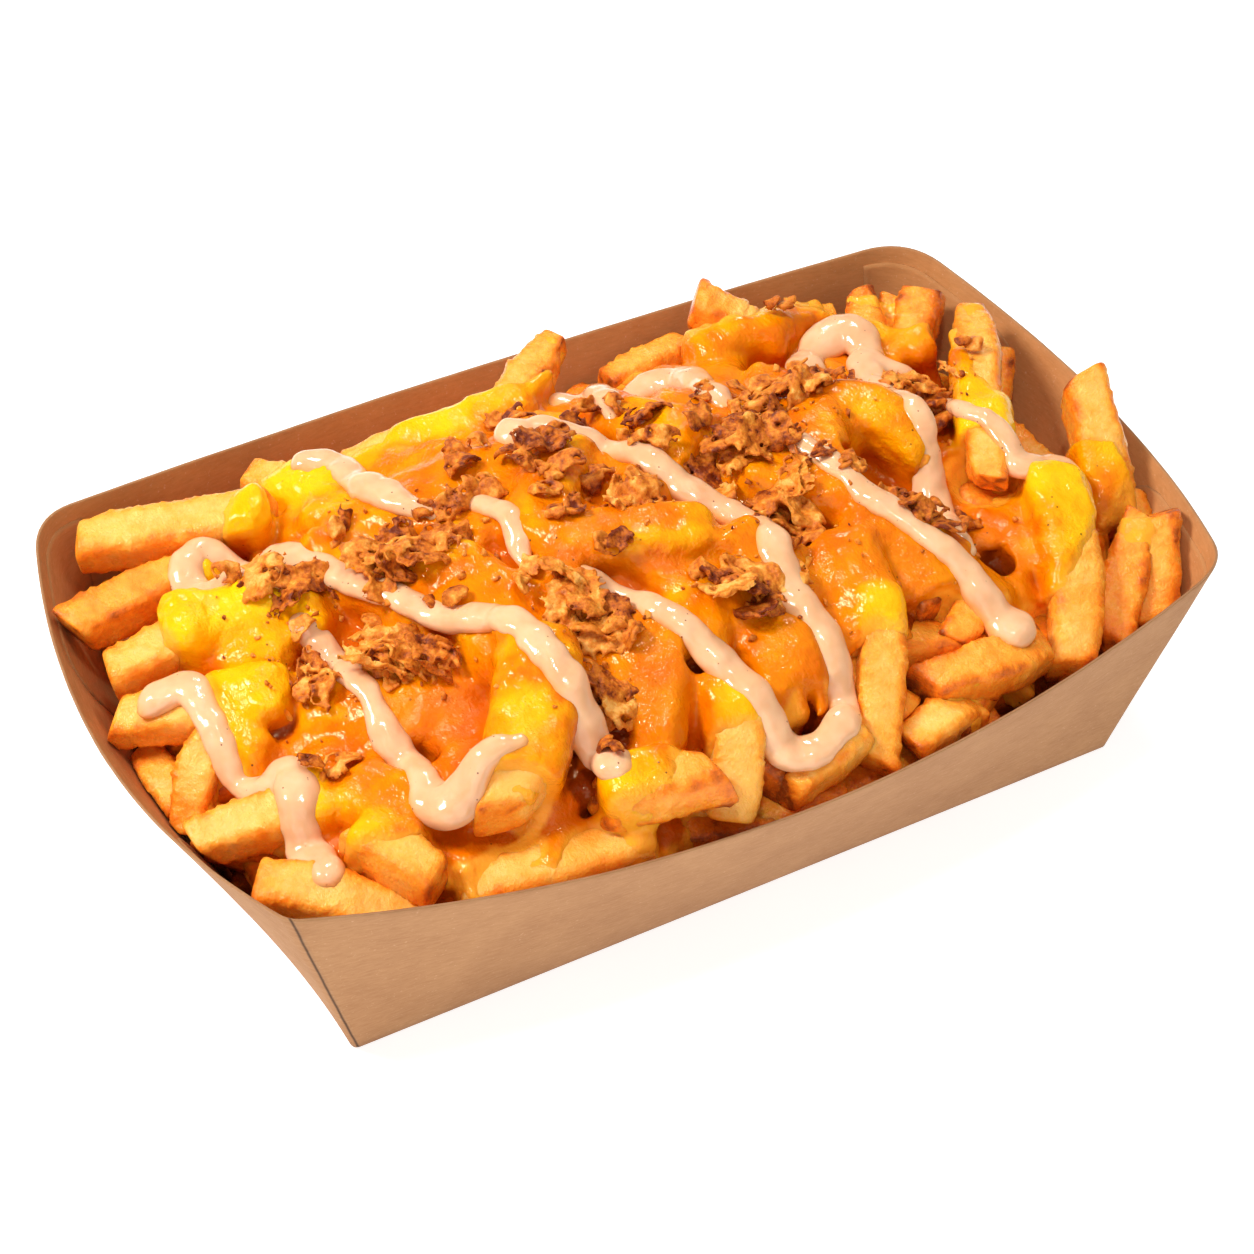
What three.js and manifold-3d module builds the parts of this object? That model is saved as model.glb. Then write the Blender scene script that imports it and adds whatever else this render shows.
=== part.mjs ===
// Loaded fries in a folded kraft paperboard tray, in millimetres.
// The origin is the centre of the tray's underside, +X runs along the tray, +Y to its back and +Z up.
import * as THREE from "three";
import { mergeVertices } from "three/addons/utils/BufferGeometryUtils.js";
import Module from "manifold-3d";

const wasm = await Module();
wasm.setup();

// Driving dimensions of the tray
const BASE_HALF_LENGTH = 85;
const BASE_HALF_WIDTH = 51;
const RIM_HALF_LENGTH = 100;
const RIM_HALF_WIDTH = 57;
const RIM_HEIGHT = 50;
const END_BULGE = 11.5;
const END_DIP = 5;
const SIDE_BULGE = 12;
const SIDE_DIP = 9;
const BOARD = 0.6;
const TAB_START_X = 90;
const TAB_END_Y = 20;
const TAB_LEVELS = [0.05, 0.93];
const BASE_CORNER_RADIUS = 1.5;
const RIM_CORNER_RADII = { frontRight: 6, backRight: 8, backLeft: 7, frontLeft: 2 };

// Straight steps along each end, each side and each rounded corner of the tray's outline
const END_STEPS = 5;
const SIDE_STEPS = 8;
const CORNER_STEPS = 3;

// Levels above the rim that the cut inside the tabs and the room for the food are carried up to
const CUT_LEVEL = 1.1;
const ROOM_LEVEL = 1.6;

// Driving dimensions of the food
const GAP = 0.3;
const WALL_CLEARANCE = 2 * BOARD + GAP;
const WELD = 0.05;
const HEAP_RIM_HEIGHT = 33;
const HEAP_RISE = 31;
const HEAP_HALF_LENGTH = 100;
const HEAP_HALF_WIDTH = 66;
const HEAP_CENTRE_Y = -3;
const HEAP_ROUNDNESS = 2.4;

// The packed core: its depth under the even top, its clearance, and where its rings run
const CORE_DEPTH = 9;
const CORE_CLEARANCE = WALL_CLEARANCE + 1;
const CORE_WALL_LEVEL = 0.5;
const CORE_SPREAD = 1.1;
const CORE_SCALES = [0.85, 0.62, 0.36, 0.12];

// A fry: its cross-section, unevenness, how close it leans on a wall in its thicknesses, and its stations
const FRY_CHAMFER_START = 0.55;
const FRY_THINNEST = 0.94;
const FRY_UNEVENNESS = 0.12;
const FRY_ROLL = 0.5;
const FRY_WALL_SHARE = 0.2;
const STRAIGHT_STATIONS = [0, 0.5, 1];
const BENT_STATIONS = [0, 0.3, 0.7, 1];

// The sauce: its reach, its thickness, and the shares of its reach that its rings run at
const SAUCE_HALF_LENGTH = 86;
const SAUCE_HALF_WIDTH = 49;
const SAUCE_DEPTH = 1.5;
const SAUCE_UNDERSIDE = 7.5;
const SAUCE_COAT = 1.2;
const SAUCE_STEPS = 40;
const SAUCE_EDGE_DROP = 0.5;
const UNDERSIDE_SCALES = [0.1, 0.5, 0.8, 0.97];
const SHOULDER_SCALE = 0.95;
const TOP_SCALES = [0.8, 0.6, 0.35, 0.1];
const COLUMN_RISE = 20;

// The drizzle: a rope whose width and height swell and shrink along its route
const DRIZZLE_WIDTH = 7;
const DRIZZLE_HEIGHT = 5.5;
const DRIZZLE_LIFT = 1;
const DRIZZLE_SIDES = 6;
const DRIZZLE_STEP = 9;
const DRIZZLE_TIP = 0.6;
const DRIZZLE_SWELL = { least: 0.9, more: 0.15, turns: 3 };

// Fried onion: thin flakes, crumpled by waves whose heights are shares of the flake's length
const FLAKE_THICKNESS = 1.8;
const FLAKE_WIDTH = { least: 0.45, more: 0.25 };
const LENGTHWISE_WAVE = { height: 0.12, turns: 7 };
const CROSSWISE_WAVE = { height: 0.1, turns: 9 };
const EDGE_WAVE = { height: 0.08, lengthwise: 6, crosswise: 8 };
const FLAKE_CURL = 0.5;
const FLAKE_TILT = 1.1;
const FLAKE_LENGTH = 0.62;
const FLAKE_TURN = 1.6;
const FLAKE_LIFT = 4;
const CLUMP_SPREAD = { along: 0.6, across: 0.16 };
const BIG_CLUMP = 13;

// Bare fries that show: x, y, z of both ends of the centreline, thickness, sideways bow and arch.
const BARE_FRIES = [
  [-93, 51, 44, -60, 38, 50, 10.5, 0, 0],
  [-103, 31, 43.5, -74, 35, 44, 10, 0, 0],
  [-101, 18, 42, -68, 15, 50, 10.5, 0, 0],
  [-105, 8.5, 40, -76, -6, 47, 10, 0, 0],
  [-101, 5, 31, -99, -11, 32, 9, 0, 0],
  [-101, -15, 32, -86, -4, 44, 10.5, -2, 1],
  [-102, -23.5, 38, -79, -29, 43, 10, 0, 0],
  [-97, -37, 37, -76, -57, 34, 10.5, 0, 2],
  [-37, -55, 48, -16, -60, 49, 10.5, 0, 0],
  [-14, -61, 38, -4, -44, 51, 11.5, 1, 1],
  [-2, -62, 39, 17, -57, 43.5, 9.5, 0, 0],
  [17, -62, 37, 33, -37, 53.5, 10.5, 0, 1],
  [25, -61, 38, 41, -59, 37.5, 9, 0, 2],
  [32, -53.5, 43, 61, -52.5, 40, 10.5, 2, 2],
  [42, -48, 46, 56, -40, 46, 9, 0, 0],
  [42, -41, 48, 44, -20, 51, 9, 0, 0],
  [64, -58, 37, 82, -20, 50, 11.5, 3, 1],
  [103, -3, 54, 96, -30, 37, 11.5, 0, 0],
  [95.5, -35, 45.5, 76, -55, 34, 10, 0, 0],
  [99, -36.5, 46.5, 88, -53, 34, 10, 0, 0],
  [103, -22, 39, 97, -36, 35, 8, 0, 0],
  [94, 12, 32, 100, -10, 30, 9, 0, 0],
  [101, 22, 42, 90, 8, 38, 9, 0, 0],
  [99, 30.5, 49, 70, -19, 52, 10.5, 0, 0],
  [95, 42, 48, 82, 28, 42, 10, 0, 0],
  [82.5, 47, 47, 76, 34, 43, 9.5, 0, 0],
  [89, 45, 45, 84, 38, 40, 8.5, 0, 0],
  [46, 56, 52, 60, 42, 45, 10.5, 0, 0],
  [14, 57, 52.5, -4, 45, 48, 10, 0, 0],
  [44, 57, 38, 24, 53, 39, 9, 0, 0],
];

// Fries coated by the sauce, in the same columns.
const COATED_FRIES = [
  [-78, -40, 44, -70, -55, 42, 10, 0, 0],
  [-66, -55, 37, -30, -60, 39, 10, 0, 0],
  [-56, -51, 48.5, -34, -22, 58, 14.5, 3, 2],
  [-55, 57, 41, -44, 36, 47, 10, 0, 0],
  [-38, 47, 44, 0, 43, 49, 10, 0, 1],
  [40, 46, 47, 76, 49, 42, 10, 0, 1],
  [-4, 20, 57, -20, -6, 58, 10, 3, 1],
  [-21, -5, 58, 8, -14, 58, 11, 0, 1],
  [-39, 4, 56, -37, -26, 54, 10, -3, 0],
  [44, 12, 53, 62, -6, 51, 10, -4, 3],
  [35, -19, 54, 52, -36, 48, 10, 0, 1],
  [-84, 14, 42, -62, 8, 49, 10, 0, 0],
];

// Filler fries that lean on the walls below the ones above: how many, how deep, how long and how askew
const FILLER_COUNT = 22;
const FILLER_DEPTH = 8;
const FILLER_RISE = 5;
const FILLER_THICKNESS = 8.5;
const FILLER_LENGTH = 34;
const FILLER_SHARE = { least: 0.7, more: 0.5 };
const FILLER_SLANT = 2.6;
const FILLER_OUT_X = 96;
const FILLER_OUT_Y = 58;

// Drips where the sauce reaches beyond its even outline: direction in degrees, reach, width in degrees
const SAUCE_DRIPS = [
  [-144, 6, 12],
  [-127, 10, 10],
  [-112, 9, 7],
  [-68, -7, 12],
  [-32, -8, 12],
  [-14, 5, 9],
  [12, 8, 10],
  [36, 4, 10],
  [134, 9, 9],
  [158, -9, 12],
  [178, 6, 16],
];

// Drizzle: the route of each strand in plan.
const STRANDS = [
  [
    [-100, 3.5], [-96.5, 4.5], [-91.5, 3], [-91, -4], [-91, -11], [-90, -17], [-86.5, -22],
    [-83, -21.5], [-84, -27], [-86, -35], [-86.5, -44],
  ],
  [[-47, 47], [-42, 44], [-42, 33], [-40, 24], [-36, 14]],
  [
    [-71.2, 16], [-74, 21.5], [-78.5, 23], [-80, 30], [-75, 35.5], [-70, 31], [-67, 26],
    [-62, 26.5], [-59, 20], [-57, 11.5], [-54, 5], [-50.5, -0.5], [-47, -8], [-42, -15],
    [-38.5, -22], [-37, -31], [-36, -40], [-34, -53],
  ],
  [[-67, 5.5], [-65, -2], [-64.5, -15], [-64, -28], [-63, -44], [-56, -44], [-49, -45]],
  [[-30, 17], [-25, 6], [-27, -7]],
  [
    [-12, 26], [-7, 25], [-3, 20.5], [1, 18], [4.5, 12], [8, 5.5], [10.5, -2], [15, -8],
    [18, -14.5], [16.5, -21.5], [15.7, -29], [15.6, -36], [15.6, -52], [8, -59], [0, -58],
    [-3, -48], [-8, -34], [-16, -20], [-20, -12],
  ],
  [[8, 42.5], [13.5, 47], [19.5, 46.5], [22, 40], [29, 41], [33, 36.5], [31, 26], [30.5, 15]],
  [[17, 46], [13.5, 37], [10.5, 27]],
  [
    [59, 31], [65, 37], [72, 38], [74, 33], [69.5, 24], [64.5, 10.5], [63, -2.5], [60.5, -12],
    [57.5, -22.5], [54, -34],
  ],
  [[35.5, 2], [37, -6.5], [39, -15], [42.5, -23.5], [49, -37], [54, -51]],
  [
    [70, 26], [75, 21], [77.5, 15], [77, 6], [75, -3], [77, -8], [77.5, -13], [77, -18],
    [81, -20], [85, -21], [87.5, -24], [87.5, -29],
  ],
];

// Clumps of fried onion: x, y, length, width and turn in degrees of the clump.
const ONION_CLUMPS = [
  [-44, 8, 20, 12, 20],
  [-55.5, -12.5, 19, 12, -35],
  [-65, 15, 17, 10, 10],
  [-71, -8, 12, 6, -75],
  [-24, -22, 18, 10, -60],
  [-29, -39, 14, 9, -50],
  [-2, -2, 12, 10, 60],
  [25, 4, 18, 11, 15],
  [25.5, -13.5, 15, 11, 60],
  [8.5, -30, 15, 13, 30],
  [46, 15, 16, 9, 5],
  [75, 9, 17, 8, -30],
  [48.5, -25, 15, 8, -35],
];

const FINISHES = {
  board: { color: 0xbe8a5c, roughness: 0.85, metalness: 0 },
  fry: { color: 0xe6b45c, roughness: 0.55, metalness: 0 },
  sauce: { color: 0xf59a1e, roughness: 0.25, metalness: 0 },
  onion: { color: 0xa8642c, roughness: 0.7, metalness: 0 },
};

// First numbers of the random draws
const SEEDS = { fillers: 7, ridges: 50, onions: 120 };

const clamp = THREE.MathUtils.clamp;
const lerp = THREE.MathUtils.lerp;
const radians = THREE.MathUtils.degToRad;

// Repeatable random numbers between 0 and 1
function seeded(seed) {
  let state = seed;
  return () => {
    state = (state * 1664525 + 1013904223) % 4294967296;
    return state / 4294967296;
  };
}

// A closed solid through rings of equal length, with a flat fan over the first and the last ring.
// Each four-sided face is split along its shorter diagonal, so that parallel walls split alike.
function loft(rings) {
  const count = rings[0].length;
  const points = rings.flat();
  const faces = [];
  for (let k = 0; k + 1 < rings.length; k += 1) {
    for (let i = 0; i < count; i += 1) {
      const a = k * count + i;
      const b = k * count + ((i + 1) % count);
      const [c, d] = [b + count, a + count];
      const isForward = points[a].distanceTo(points[c]) < points[b].distanceTo(points[d]);
      faces.push(...(isForward ? [a, b, c, a, c, d] : [b, c, d, b, d, a]));
    }
  }
  const ends = [[rings[0], 0, true], [rings.at(-1), (rings.length - 1) * count, false]];
  for (const [ring, first, reversed] of ends) {
    const centre = points.length;
    points.push(ring.reduce((sum, p) => sum.add(p), new THREE.Vector3()).divideScalar(count));
    for (let i = 0; i < count; i += 1) {
      const a = first + i;
      const b = first + ((i + 1) % count);
      faces.push(...(reversed ? [centre, b, a] : [centre, a, b]));
    }
  }
  return toSolid(points.flatMap((p) => p.toArray()), faces);
}

// A solid from vertex numbers and faces, turned outward if its faces point in
function toSolid(numbers, faces) {
  const make = (list) =>
    new wasm.Manifold(
      new wasm.Mesh({
        numProp: 3,
        vertProperties: new Float32Array(numbers),
        triVerts: new Uint32Array(list),
      }),
    );
  const made = make(faces);
  return made.volume() < 0 ? make(faces.toReversed()) : made;
}

// A solid from a three.js geometry that is closed
function closedSolid(geometry) {
  geometry.deleteAttribute("normal");
  geometry.deleteAttribute("uv");
  const merged = mergeVertices(geometry);
  return toSolid(merged.attributes.position.array, Array.from(merged.index.array));
}

const join = (solids) => solids.reduce((whole, solid) => whole.add(solid));

// A solid with points closer than the weld distance made one, which takes the slivers of its joins away
function welded(solid) {
  const { vertProperties, triVerts } = solid.asOriginal().simplify(WELD).getMesh();
  const geometry = new THREE.BufferGeometry();
  geometry.setAttribute("position", new THREE.BufferAttribute(vertProperties, 3));
  geometry.setIndex(new THREE.BufferAttribute(triVerts, 1));
  const merged = mergeVertices(geometry, WELD);
  const faces = [];
  for (let i = 0; i < merged.index.count; i += 3) {
    const [a, b, c] = merged.index.array.slice(i, i + 3);
    if (a !== b && b !== c && c !== a) {
      faces.push(a, b, c);
    }
  }
  return toSolid(merged.attributes.position.array, faces).simplify(WELD);
}

// The largest body of a joined solid, without its loose scraps and sealed hollows
function mainBody(solid) {
  return welded(solid).decompose().sort((a, b) => b.volume() - a.volume())[0];
}

// How far a side's base edge lies from the middle, and half that edge's length
function halfBase(side) {
  return side % 2 === 0 ? [BASE_HALF_LENGTH, BASE_HALF_WIDTH] : [BASE_HALF_WIDTH, BASE_HALF_LENGTH];
}

// One side's edge of the tray: side 0 to 3 are the right, back, left and front, along runs from -1 to 1,
// and level is 0 at the base and 1 at the rim. Each wall is ruled between its two edges.
function wallPoint(side, along, level) {
  const hump = 1 - along * along;
  const isEnd = side % 2 === 0;
  const [baseOut, baseAcross] = halfBase(side);
  const rimOut = isEnd ? RIM_HALF_LENGTH + END_BULGE * hump : RIM_HALF_WIDTH + SIDE_BULGE * hump;
  const rimZ = RIM_HEIGHT - (isEnd ? END_DIP : SIDE_DIP) * hump;
  const out = lerp(baseOut, rimOut, level);
  const across = along * lerp(baseAcross, isEnd ? RIM_HALF_WIDTH : RIM_HALF_LENGTH, level);
  const z = rimZ * level;
  const places = [
    [out, across],
    [-across, out],
    [-out, -across],
    [across, -out],
  ];
  return new THREE.Vector3(...places[side], z);
}

// The radius of the corner after a side, at a level
function cornerRadius(side, level) {
  const { frontRight, backRight, backLeft, frontLeft } = RIM_CORNER_RADII;
  return lerp(BASE_CORNER_RADIUS, [backRight, backLeft, frontLeft, frontRight][side], level);
}

// The points of one side of the tray at a level, and of the rounded corner after it
function sidePoints(side, level) {
  const steps = side % 2 === 0 ? END_STEPS : SIDE_STEPS;
  const [nextHalf, halfSide] = halfBase(side);
  const before = cornerRadius((side + 3) % 4, level) / halfSide;
  const after = cornerRadius(side, level) / halfSide;
  const reach = cornerRadius(side, level) / nextHalf;
  const corner = new THREE.QuadraticBezierCurve3(
    wallPoint(side, 1 - after, level),
    wallPoint(side, 1, level),
    wallPoint((side + 1) % 4, -1 + reach, level),
  );
  const straight = Array.from({ length: steps + 1 }, (_, i) =>
    wallPoint(side, lerp(-1 + before, 1 - after, i / steps), level),
  );
  return [...straight, ...corner.getPoints(CORNER_STEPS).slice(1, -1)];
}

// The tray's outline at a level, moved inward by inset: four sides with a rounded corner after each
function outline(level, inset = 0) {
  const points = [0, 1, 2, 3].flatMap((side) => sidePoints(side, level));
  return points.map((point, i) => {
    const previous = points.at(i - 1);
    const following = points[(i + 1) % points.length];
    const inward = new THREE.Vector3(previous.y - following.y, following.x - previous.x, 0).normalize();
    return point.clone().addScaledVector(inward, inset);
  });
}

// The folded sheet: flat base and four leaning walls of one board thickness, with its four glued tabs
function traySolid() {
  const floor = outline(0, BOARD).map((p) => p.setZ(BOARD));
  return join([loft([outline(0), outline(1), outline(1, BOARD), floor]), tabsSolid()]);
}

// The tabs: a second layer of board inside the walls, kept only round the four corners
function tabsSolid() {
  const [low, high] = TAB_LEVELS;
  const outer = loft([outline(low, BOARD / 2), outline(high, BOARD / 2)]);
  const inner = loft([outline(0, 2 * BOARD), outline(CUT_LEVEL, 2 * BOARD)]);
  const corners = [-1, 1].flatMap((right) => [-1, 1].map((back) => cornerBox(right, back)));
  return outer.subtract(inner).intersect(join(corners));
}

// A box over one corner of the tray, from where the tab starts on the long wall and ends on the end wall
function cornerBox(right, back) {
  const reach = 60;
  const box = new THREE.BoxGeometry(reach, reach, 3 * RIM_HEIGHT);
  box.translate(right * (TAB_START_X + reach / 2), back * (TAB_END_Y + reach / 2), 0);
  return closedSolid(box);
}

// The room inside the walls, carried on above the rim, that all food stays in
function roomSolid() {
  const bottom = outline(0, WALL_CLEARANCE + GAP).map((p) => p.setZ(BOARD + GAP));
  return loft([bottom, outline(1, WALL_CLEARANCE), outline(ROOM_LEVEL, WALL_CLEARANCE)]);
}

// A point moved inward until it is clear of the leaning walls
function keepInside(point, clearance) {
  const acrossEnd = clamp(point.y / RIM_HALF_WIDTH, -1, 1);
  const acrossSide = clamp(point.x / RIM_HALF_LENGTH, -1, 1);
  const endRim = wallPoint(0, acrossEnd, 1);
  const sideRim = wallPoint(1, acrossSide, 1);
  const endLimit = lerp(BASE_HALF_LENGTH, endRim.x, point.z / endRim.z) - clearance;
  const sideLimit = lerp(BASE_HALF_WIDTH, sideRim.y, point.z / sideRim.z) - clearance;
  return new THREE.Vector3(
    clamp(point.x, -endLimit, endLimit),
    clamp(point.y, -sideLimit, sideLimit),
    point.z,
  );
}

// Height of the heap's even top over the tray's plan
function heapTop(x, y) {
  const lengthwise = 1 - Math.min(1, Math.abs(x / HEAP_HALF_LENGTH)) ** HEAP_ROUNDNESS;
  const crosswise = 1 - Math.min(1, Math.abs((y - HEAP_CENTRE_Y) / HEAP_HALF_WIDTH)) ** HEAP_ROUNDNESS;
  return HEAP_RIM_HEIGHT + HEAP_RISE * lengthwise * crosswise;
}

// The packed fries under the ones that show: up the walls and over in a low dome
function coreSolid() {
  const wallRing = outline(CORE_WALL_LEVEL, WALL_CLEARANCE).map((p) => {
    const z = heapTop(p.x, p.y) - CORE_DEPTH;
    return keepInside(new THREE.Vector3(p.x * CORE_SPREAD, p.y * CORE_SPREAD, z), CORE_CLEARANCE);
  });
  const shrunk = (scale) =>
    wallRing.map((p) => {
      const [x, y] = [p.x * scale, p.y * scale];
      return new THREE.Vector3(x, y, heapTop(x, y) - CORE_DEPTH);
    });
  const floor = outline(0, CORE_CLEARANCE).map((p) => p.setZ(0));
  return loft([floor, wallRing, ...CORE_SCALES.map(shrunk)]);
}

// One fry: a bowed square stick with chamfered edges, a little uneven in thickness
function frySolid(row, seed, grow = 0) {
  const [x1, y1, z1, x2, y2, z2, thickness, bow, arch] = row;
  const random = seeded(seed);
  const clearance = WALL_CLEARANCE + FRY_WALL_SHARE * thickness;
  const start = keepInside(new THREE.Vector3(x1, y1, z1), clearance);
  const end = keepInside(new THREE.Vector3(x2, y2, z2), clearance);
  const along = end.clone().sub(start).normalize();
  const sideways = new THREE.Vector3(along.y, -along.x, 0).normalize();
  const upward = new THREE.Vector3().crossVectors(sideways, along);
  const roll = (random() - 0.5) * FRY_ROLL;
  start.addScaledVector(along, -grow);
  end.addScaledVector(along, grow);
  const isStraight = bow === 0 && arch === 0;
  const rings = (isStraight ? STRAIGHT_STATIONS : BENT_STATIONS).map((t) => {
    const centre = start.clone().lerp(end, t);
    centre.addScaledVector(sideways, bow * 4 * t * (1 - t)).addScaledVector(upward, arch * 4 * t * (1 - t));
    const half = (thickness / 2) * (FRY_THINNEST + FRY_UNEVENNESS * random()) + grow;
    return fryRing(centre, sideways, upward, half, roll);
  });
  return loft(rings);
}

// A square with cut corners round a point of the fry's centreline
function fryRing(centre, sideways, upward, half, roll) {
  const cut = FRY_CHAMFER_START * half;
  const corners = [
    [half, cut], [cut, half], [-cut, half], [-half, cut],
    [-half, -cut], [-cut, -half], [cut, -half], [half, -cut],
  ];
  return corners.map(([u, v]) => {
    const a = u * Math.cos(roll) - v * Math.sin(roll);
    const b = u * Math.sin(roll) + v * Math.cos(roll);
    return centre.clone().addScaledVector(sideways, a).addScaledVector(upward, b);
  });
}

// Filler fries round the walls in turn, at seeded slants: each leans on the wall and runs inward
function fillerRows() {
  const random = seeded(SEEDS.fillers);
  return Array.from({ length: FILLER_COUNT }, (_, i) => {
    const angle = ((i + 0.5) / FILLER_COUNT) * 2 * Math.PI;
    const x = FILLER_OUT_X * Math.cos(angle);
    const y = FILLER_OUT_Y * Math.sin(angle);
    const slant = angle + (random() - 0.5) * FILLER_SLANT;
    const reach = FILLER_LENGTH * (FILLER_SHARE.least + FILLER_SHARE.more * random());
    const inner = [x - reach * Math.cos(slant), y - reach * Math.sin(slant)];
    const z = heapTop(x, y) - FILLER_DEPTH + FILLER_RISE * random();
    return [x, y, z, ...inner, heapTop(...inner) - FILLER_DEPTH, FILLER_THICKNESS + random(), 0, 0];
  });
}

// How far the sauce reaches from the heap's middle in a direction, with its drips and hollows
function sauceReach(angle) {
  const lengthwise = Math.abs(Math.cos(angle) / SAUCE_HALF_LENGTH) ** HEAP_ROUNDNESS;
  const crosswise = Math.abs(Math.sin(angle) / SAUCE_HALF_WIDTH) ** HEAP_ROUNDNESS;
  const even = (lengthwise + crosswise) ** (-1 / HEAP_ROUNDNESS);
  return SAUCE_DRIPS.reduce((reach, [direction, extra, width]) => {
    const turn = Math.atan2(Math.sin(angle - radians(direction)), Math.cos(angle - radians(direction)));
    return reach + extra * Math.exp(-((turn / radians(width)) ** 2));
  }, even);
}

// A ring on the heap inside the sauce's edge, at a share of its reach and a height over the heap
function sauceRing(scale, rise, grow) {
  return Array.from({ length: SAUCE_STEPS }, (_, i) => {
    const angle = (i / SAUCE_STEPS) * 2 * Math.PI;
    const reach = (sauceReach(angle) + grow) * scale;
    const x = reach * Math.cos(angle);
    const y = HEAP_CENTRE_Y + reach * Math.sin(angle);
    return new THREE.Vector3(x, y, heapTop(x, y) + rise);
  });
}

// The even sheet of sauce, thick in the middle and rounded off at its edge
function sauceSheet(grow) {
  const ring = (scale, rise) => sauceRing(scale, rise, grow);
  const under = -SAUCE_UNDERSIDE - grow;
  const over = -SAUCE_DEPTH + grow;
  return loft([
    ...UNDERSIDE_SCALES.map((scale) => ring(scale, under)),
    ring(1, (under + over) / 2),
    ring(SHOULDER_SCALE, over - SAUCE_EDGE_DROP),
    ...TOP_SCALES.map((scale) => ring(scale, over)),
  ]);
}

// The space over the sauce's underside, out to its edge
function sauceColumn(grow) {
  const under = -SAUCE_UNDERSIDE + SAUCE_EDGE_DROP - grow;
  const top = sauceRing(1, 0, grow).map((p) => p.setZ(HEAP_RIM_HEIGHT + HEAP_RISE + COLUMN_RISE));
  const bottom = [1, ...UNDERSIDE_SCALES.toReversed()].map((scale) => sauceRing(scale, under, grow));
  return loft([top, ...bottom]);
}

// One strand of drizzle: a flattened rope that follows the heap, thin at its start and fat at its end
function strandSolid(route, lift, grow = 0) {
  const places = route.map(([x, y]) => new THREE.Vector3(x, y, 0));
  const curve = new THREE.CatmullRomCurve3(places, false, "centripetal");
  const steps = Math.max(4, Math.round(curve.getLength() / DRIZZLE_STEP));
  const rings = Array.from({ length: steps + 1 }, (_, k) => {
    const t = k / steps;
    const flat = curve.getPointAt(t);
    const centre = new THREE.Vector3(flat.x, flat.y, heapTop(flat.x, flat.y) + lift);
    const along = curve.getTangentAt(t);
    const sideways = new THREE.Vector3(along.y, -along.x, 0);
    const { least, more, turns } = DRIZZLE_SWELL;
    const swell = k === 0 || k === steps ? DRIZZLE_TIP : least + more * Math.sin(turns * k);
    return Array.from({ length: DRIZZLE_SIDES }, (_, i) => {
      const angle = (i / DRIZZLE_SIDES) * 2 * Math.PI;
      const across = ((DRIZZLE_WIDTH / 2) * swell + grow) * Math.cos(angle);
      const rise = ((DRIZZLE_HEIGHT / 2) * swell + grow) * Math.sin(angle);
      return centre.clone().addScaledVector(sideways, across).add(new THREE.Vector3(0, 0, rise));
    });
  });
  return loft(rings);
}

// The sauce with the coated fries that show as ridges under it and the drizzle on it
function sauceSolid(grow = 0) {
  const ridges = COATED_FRIES.map((row, i) => frySolid(row, SEEDS.ridges + i, SAUCE_COAT + grow));
  const strands = STRANDS.map((route) => strandSolid(route, DRIZZLE_LIFT, grow));
  return join([...ridges, ...strands]).intersect(sauceColumn(grow)).add(sauceSheet(grow));
}

// One crisp flake: a thin plate, crumpled by waves and tilted at random
function flakeSolid(x, y, z, size, turn, random) {
  const width = size * (FLAKE_WIDTH.least + FLAKE_WIDTH.more * random());
  const plate = new THREE.BoxGeometry(size, width, FLAKE_THICKNESS, 3, 2, 1);
  crumple(plate.attributes.position, size, random() * 6);
  plate.rotateX((random() - 0.5) * FLAKE_TILT).rotateY((random() - 0.5) * FLAKE_TILT);
  plate.rotateZ(turn).translate(x, y, z);
  return closedSolid(plate);
}

// Bends a flat plate's points: waves both ways, ends that curl down, and a wavering edge
function crumple(places, size, phase) {
  const point = new THREE.Vector3();
  for (let i = 0; i < places.count; i += 1) {
    point.fromBufferAttribute(places, i);
    const [u, v] = [point.x / size, point.y / size];
    const lengthwise = LENGTHWISE_WAVE.height * Math.sin(LENGTHWISE_WAVE.turns * u + phase);
    const crosswise = CROSSWISE_WAVE.height * Math.cos(CROSSWISE_WAVE.turns * v + 2 * phase);
    point.z += size * (lengthwise + crosswise - FLAKE_CURL * u * u);
    point.x += EDGE_WAVE.height * size * Math.sin(EDGE_WAVE.crosswise * v + phase);
    point.y += EDGE_WAVE.height * size * Math.sin(EDGE_WAVE.lengthwise * u - phase);
    places.setXYZ(i, ...point.toArray());
  }
}

// A clump of onion: two or three flakes that have stuck together
function onionSolid([x, y, length, width, degrees], seed) {
  const random = seeded(seed);
  const turn = radians(degrees);
  const count = length > BIG_CLUMP ? 3 : 2;
  const flakes = Array.from({ length: count }, (_, i) => {
    const along = ((i + 0.5) / count - 0.5) * length * CLUMP_SPREAD.along;
    const across = (i % 2 === 0 ? CLUMP_SPREAD.across : -CLUMP_SPREAD.across) * width;
    const cx = x + along * Math.cos(turn) - across * Math.sin(turn);
    const cy = y + along * Math.sin(turn) + across * Math.cos(turn);
    const flakeTurn = turn + random() * FLAKE_TURN - FLAKE_TURN / 2;
    return flakeSolid(cx, cy, heapTop(cx, cy) + FLAKE_LIFT, length * FLAKE_LENGTH, flakeTurn, random);
  });
  return join(flakes);
}

// A named mesh of a solid in one plain finish
function toMesh(solid, name, finish) {
  const { vertProperties, triVerts } = solid.getMesh();
  const geometry = new THREE.BufferGeometry();
  geometry.setAttribute("position", new THREE.BufferAttribute(vertProperties, 3));
  geometry.setIndex(new THREE.BufferAttribute(triVerts, 1));
  geometry.computeVertexNormals();
  const mesh = new THREE.Mesh(geometry, new THREE.MeshStandardMaterial(finish));
  mesh.name = name;
  return mesh;
}

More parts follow.
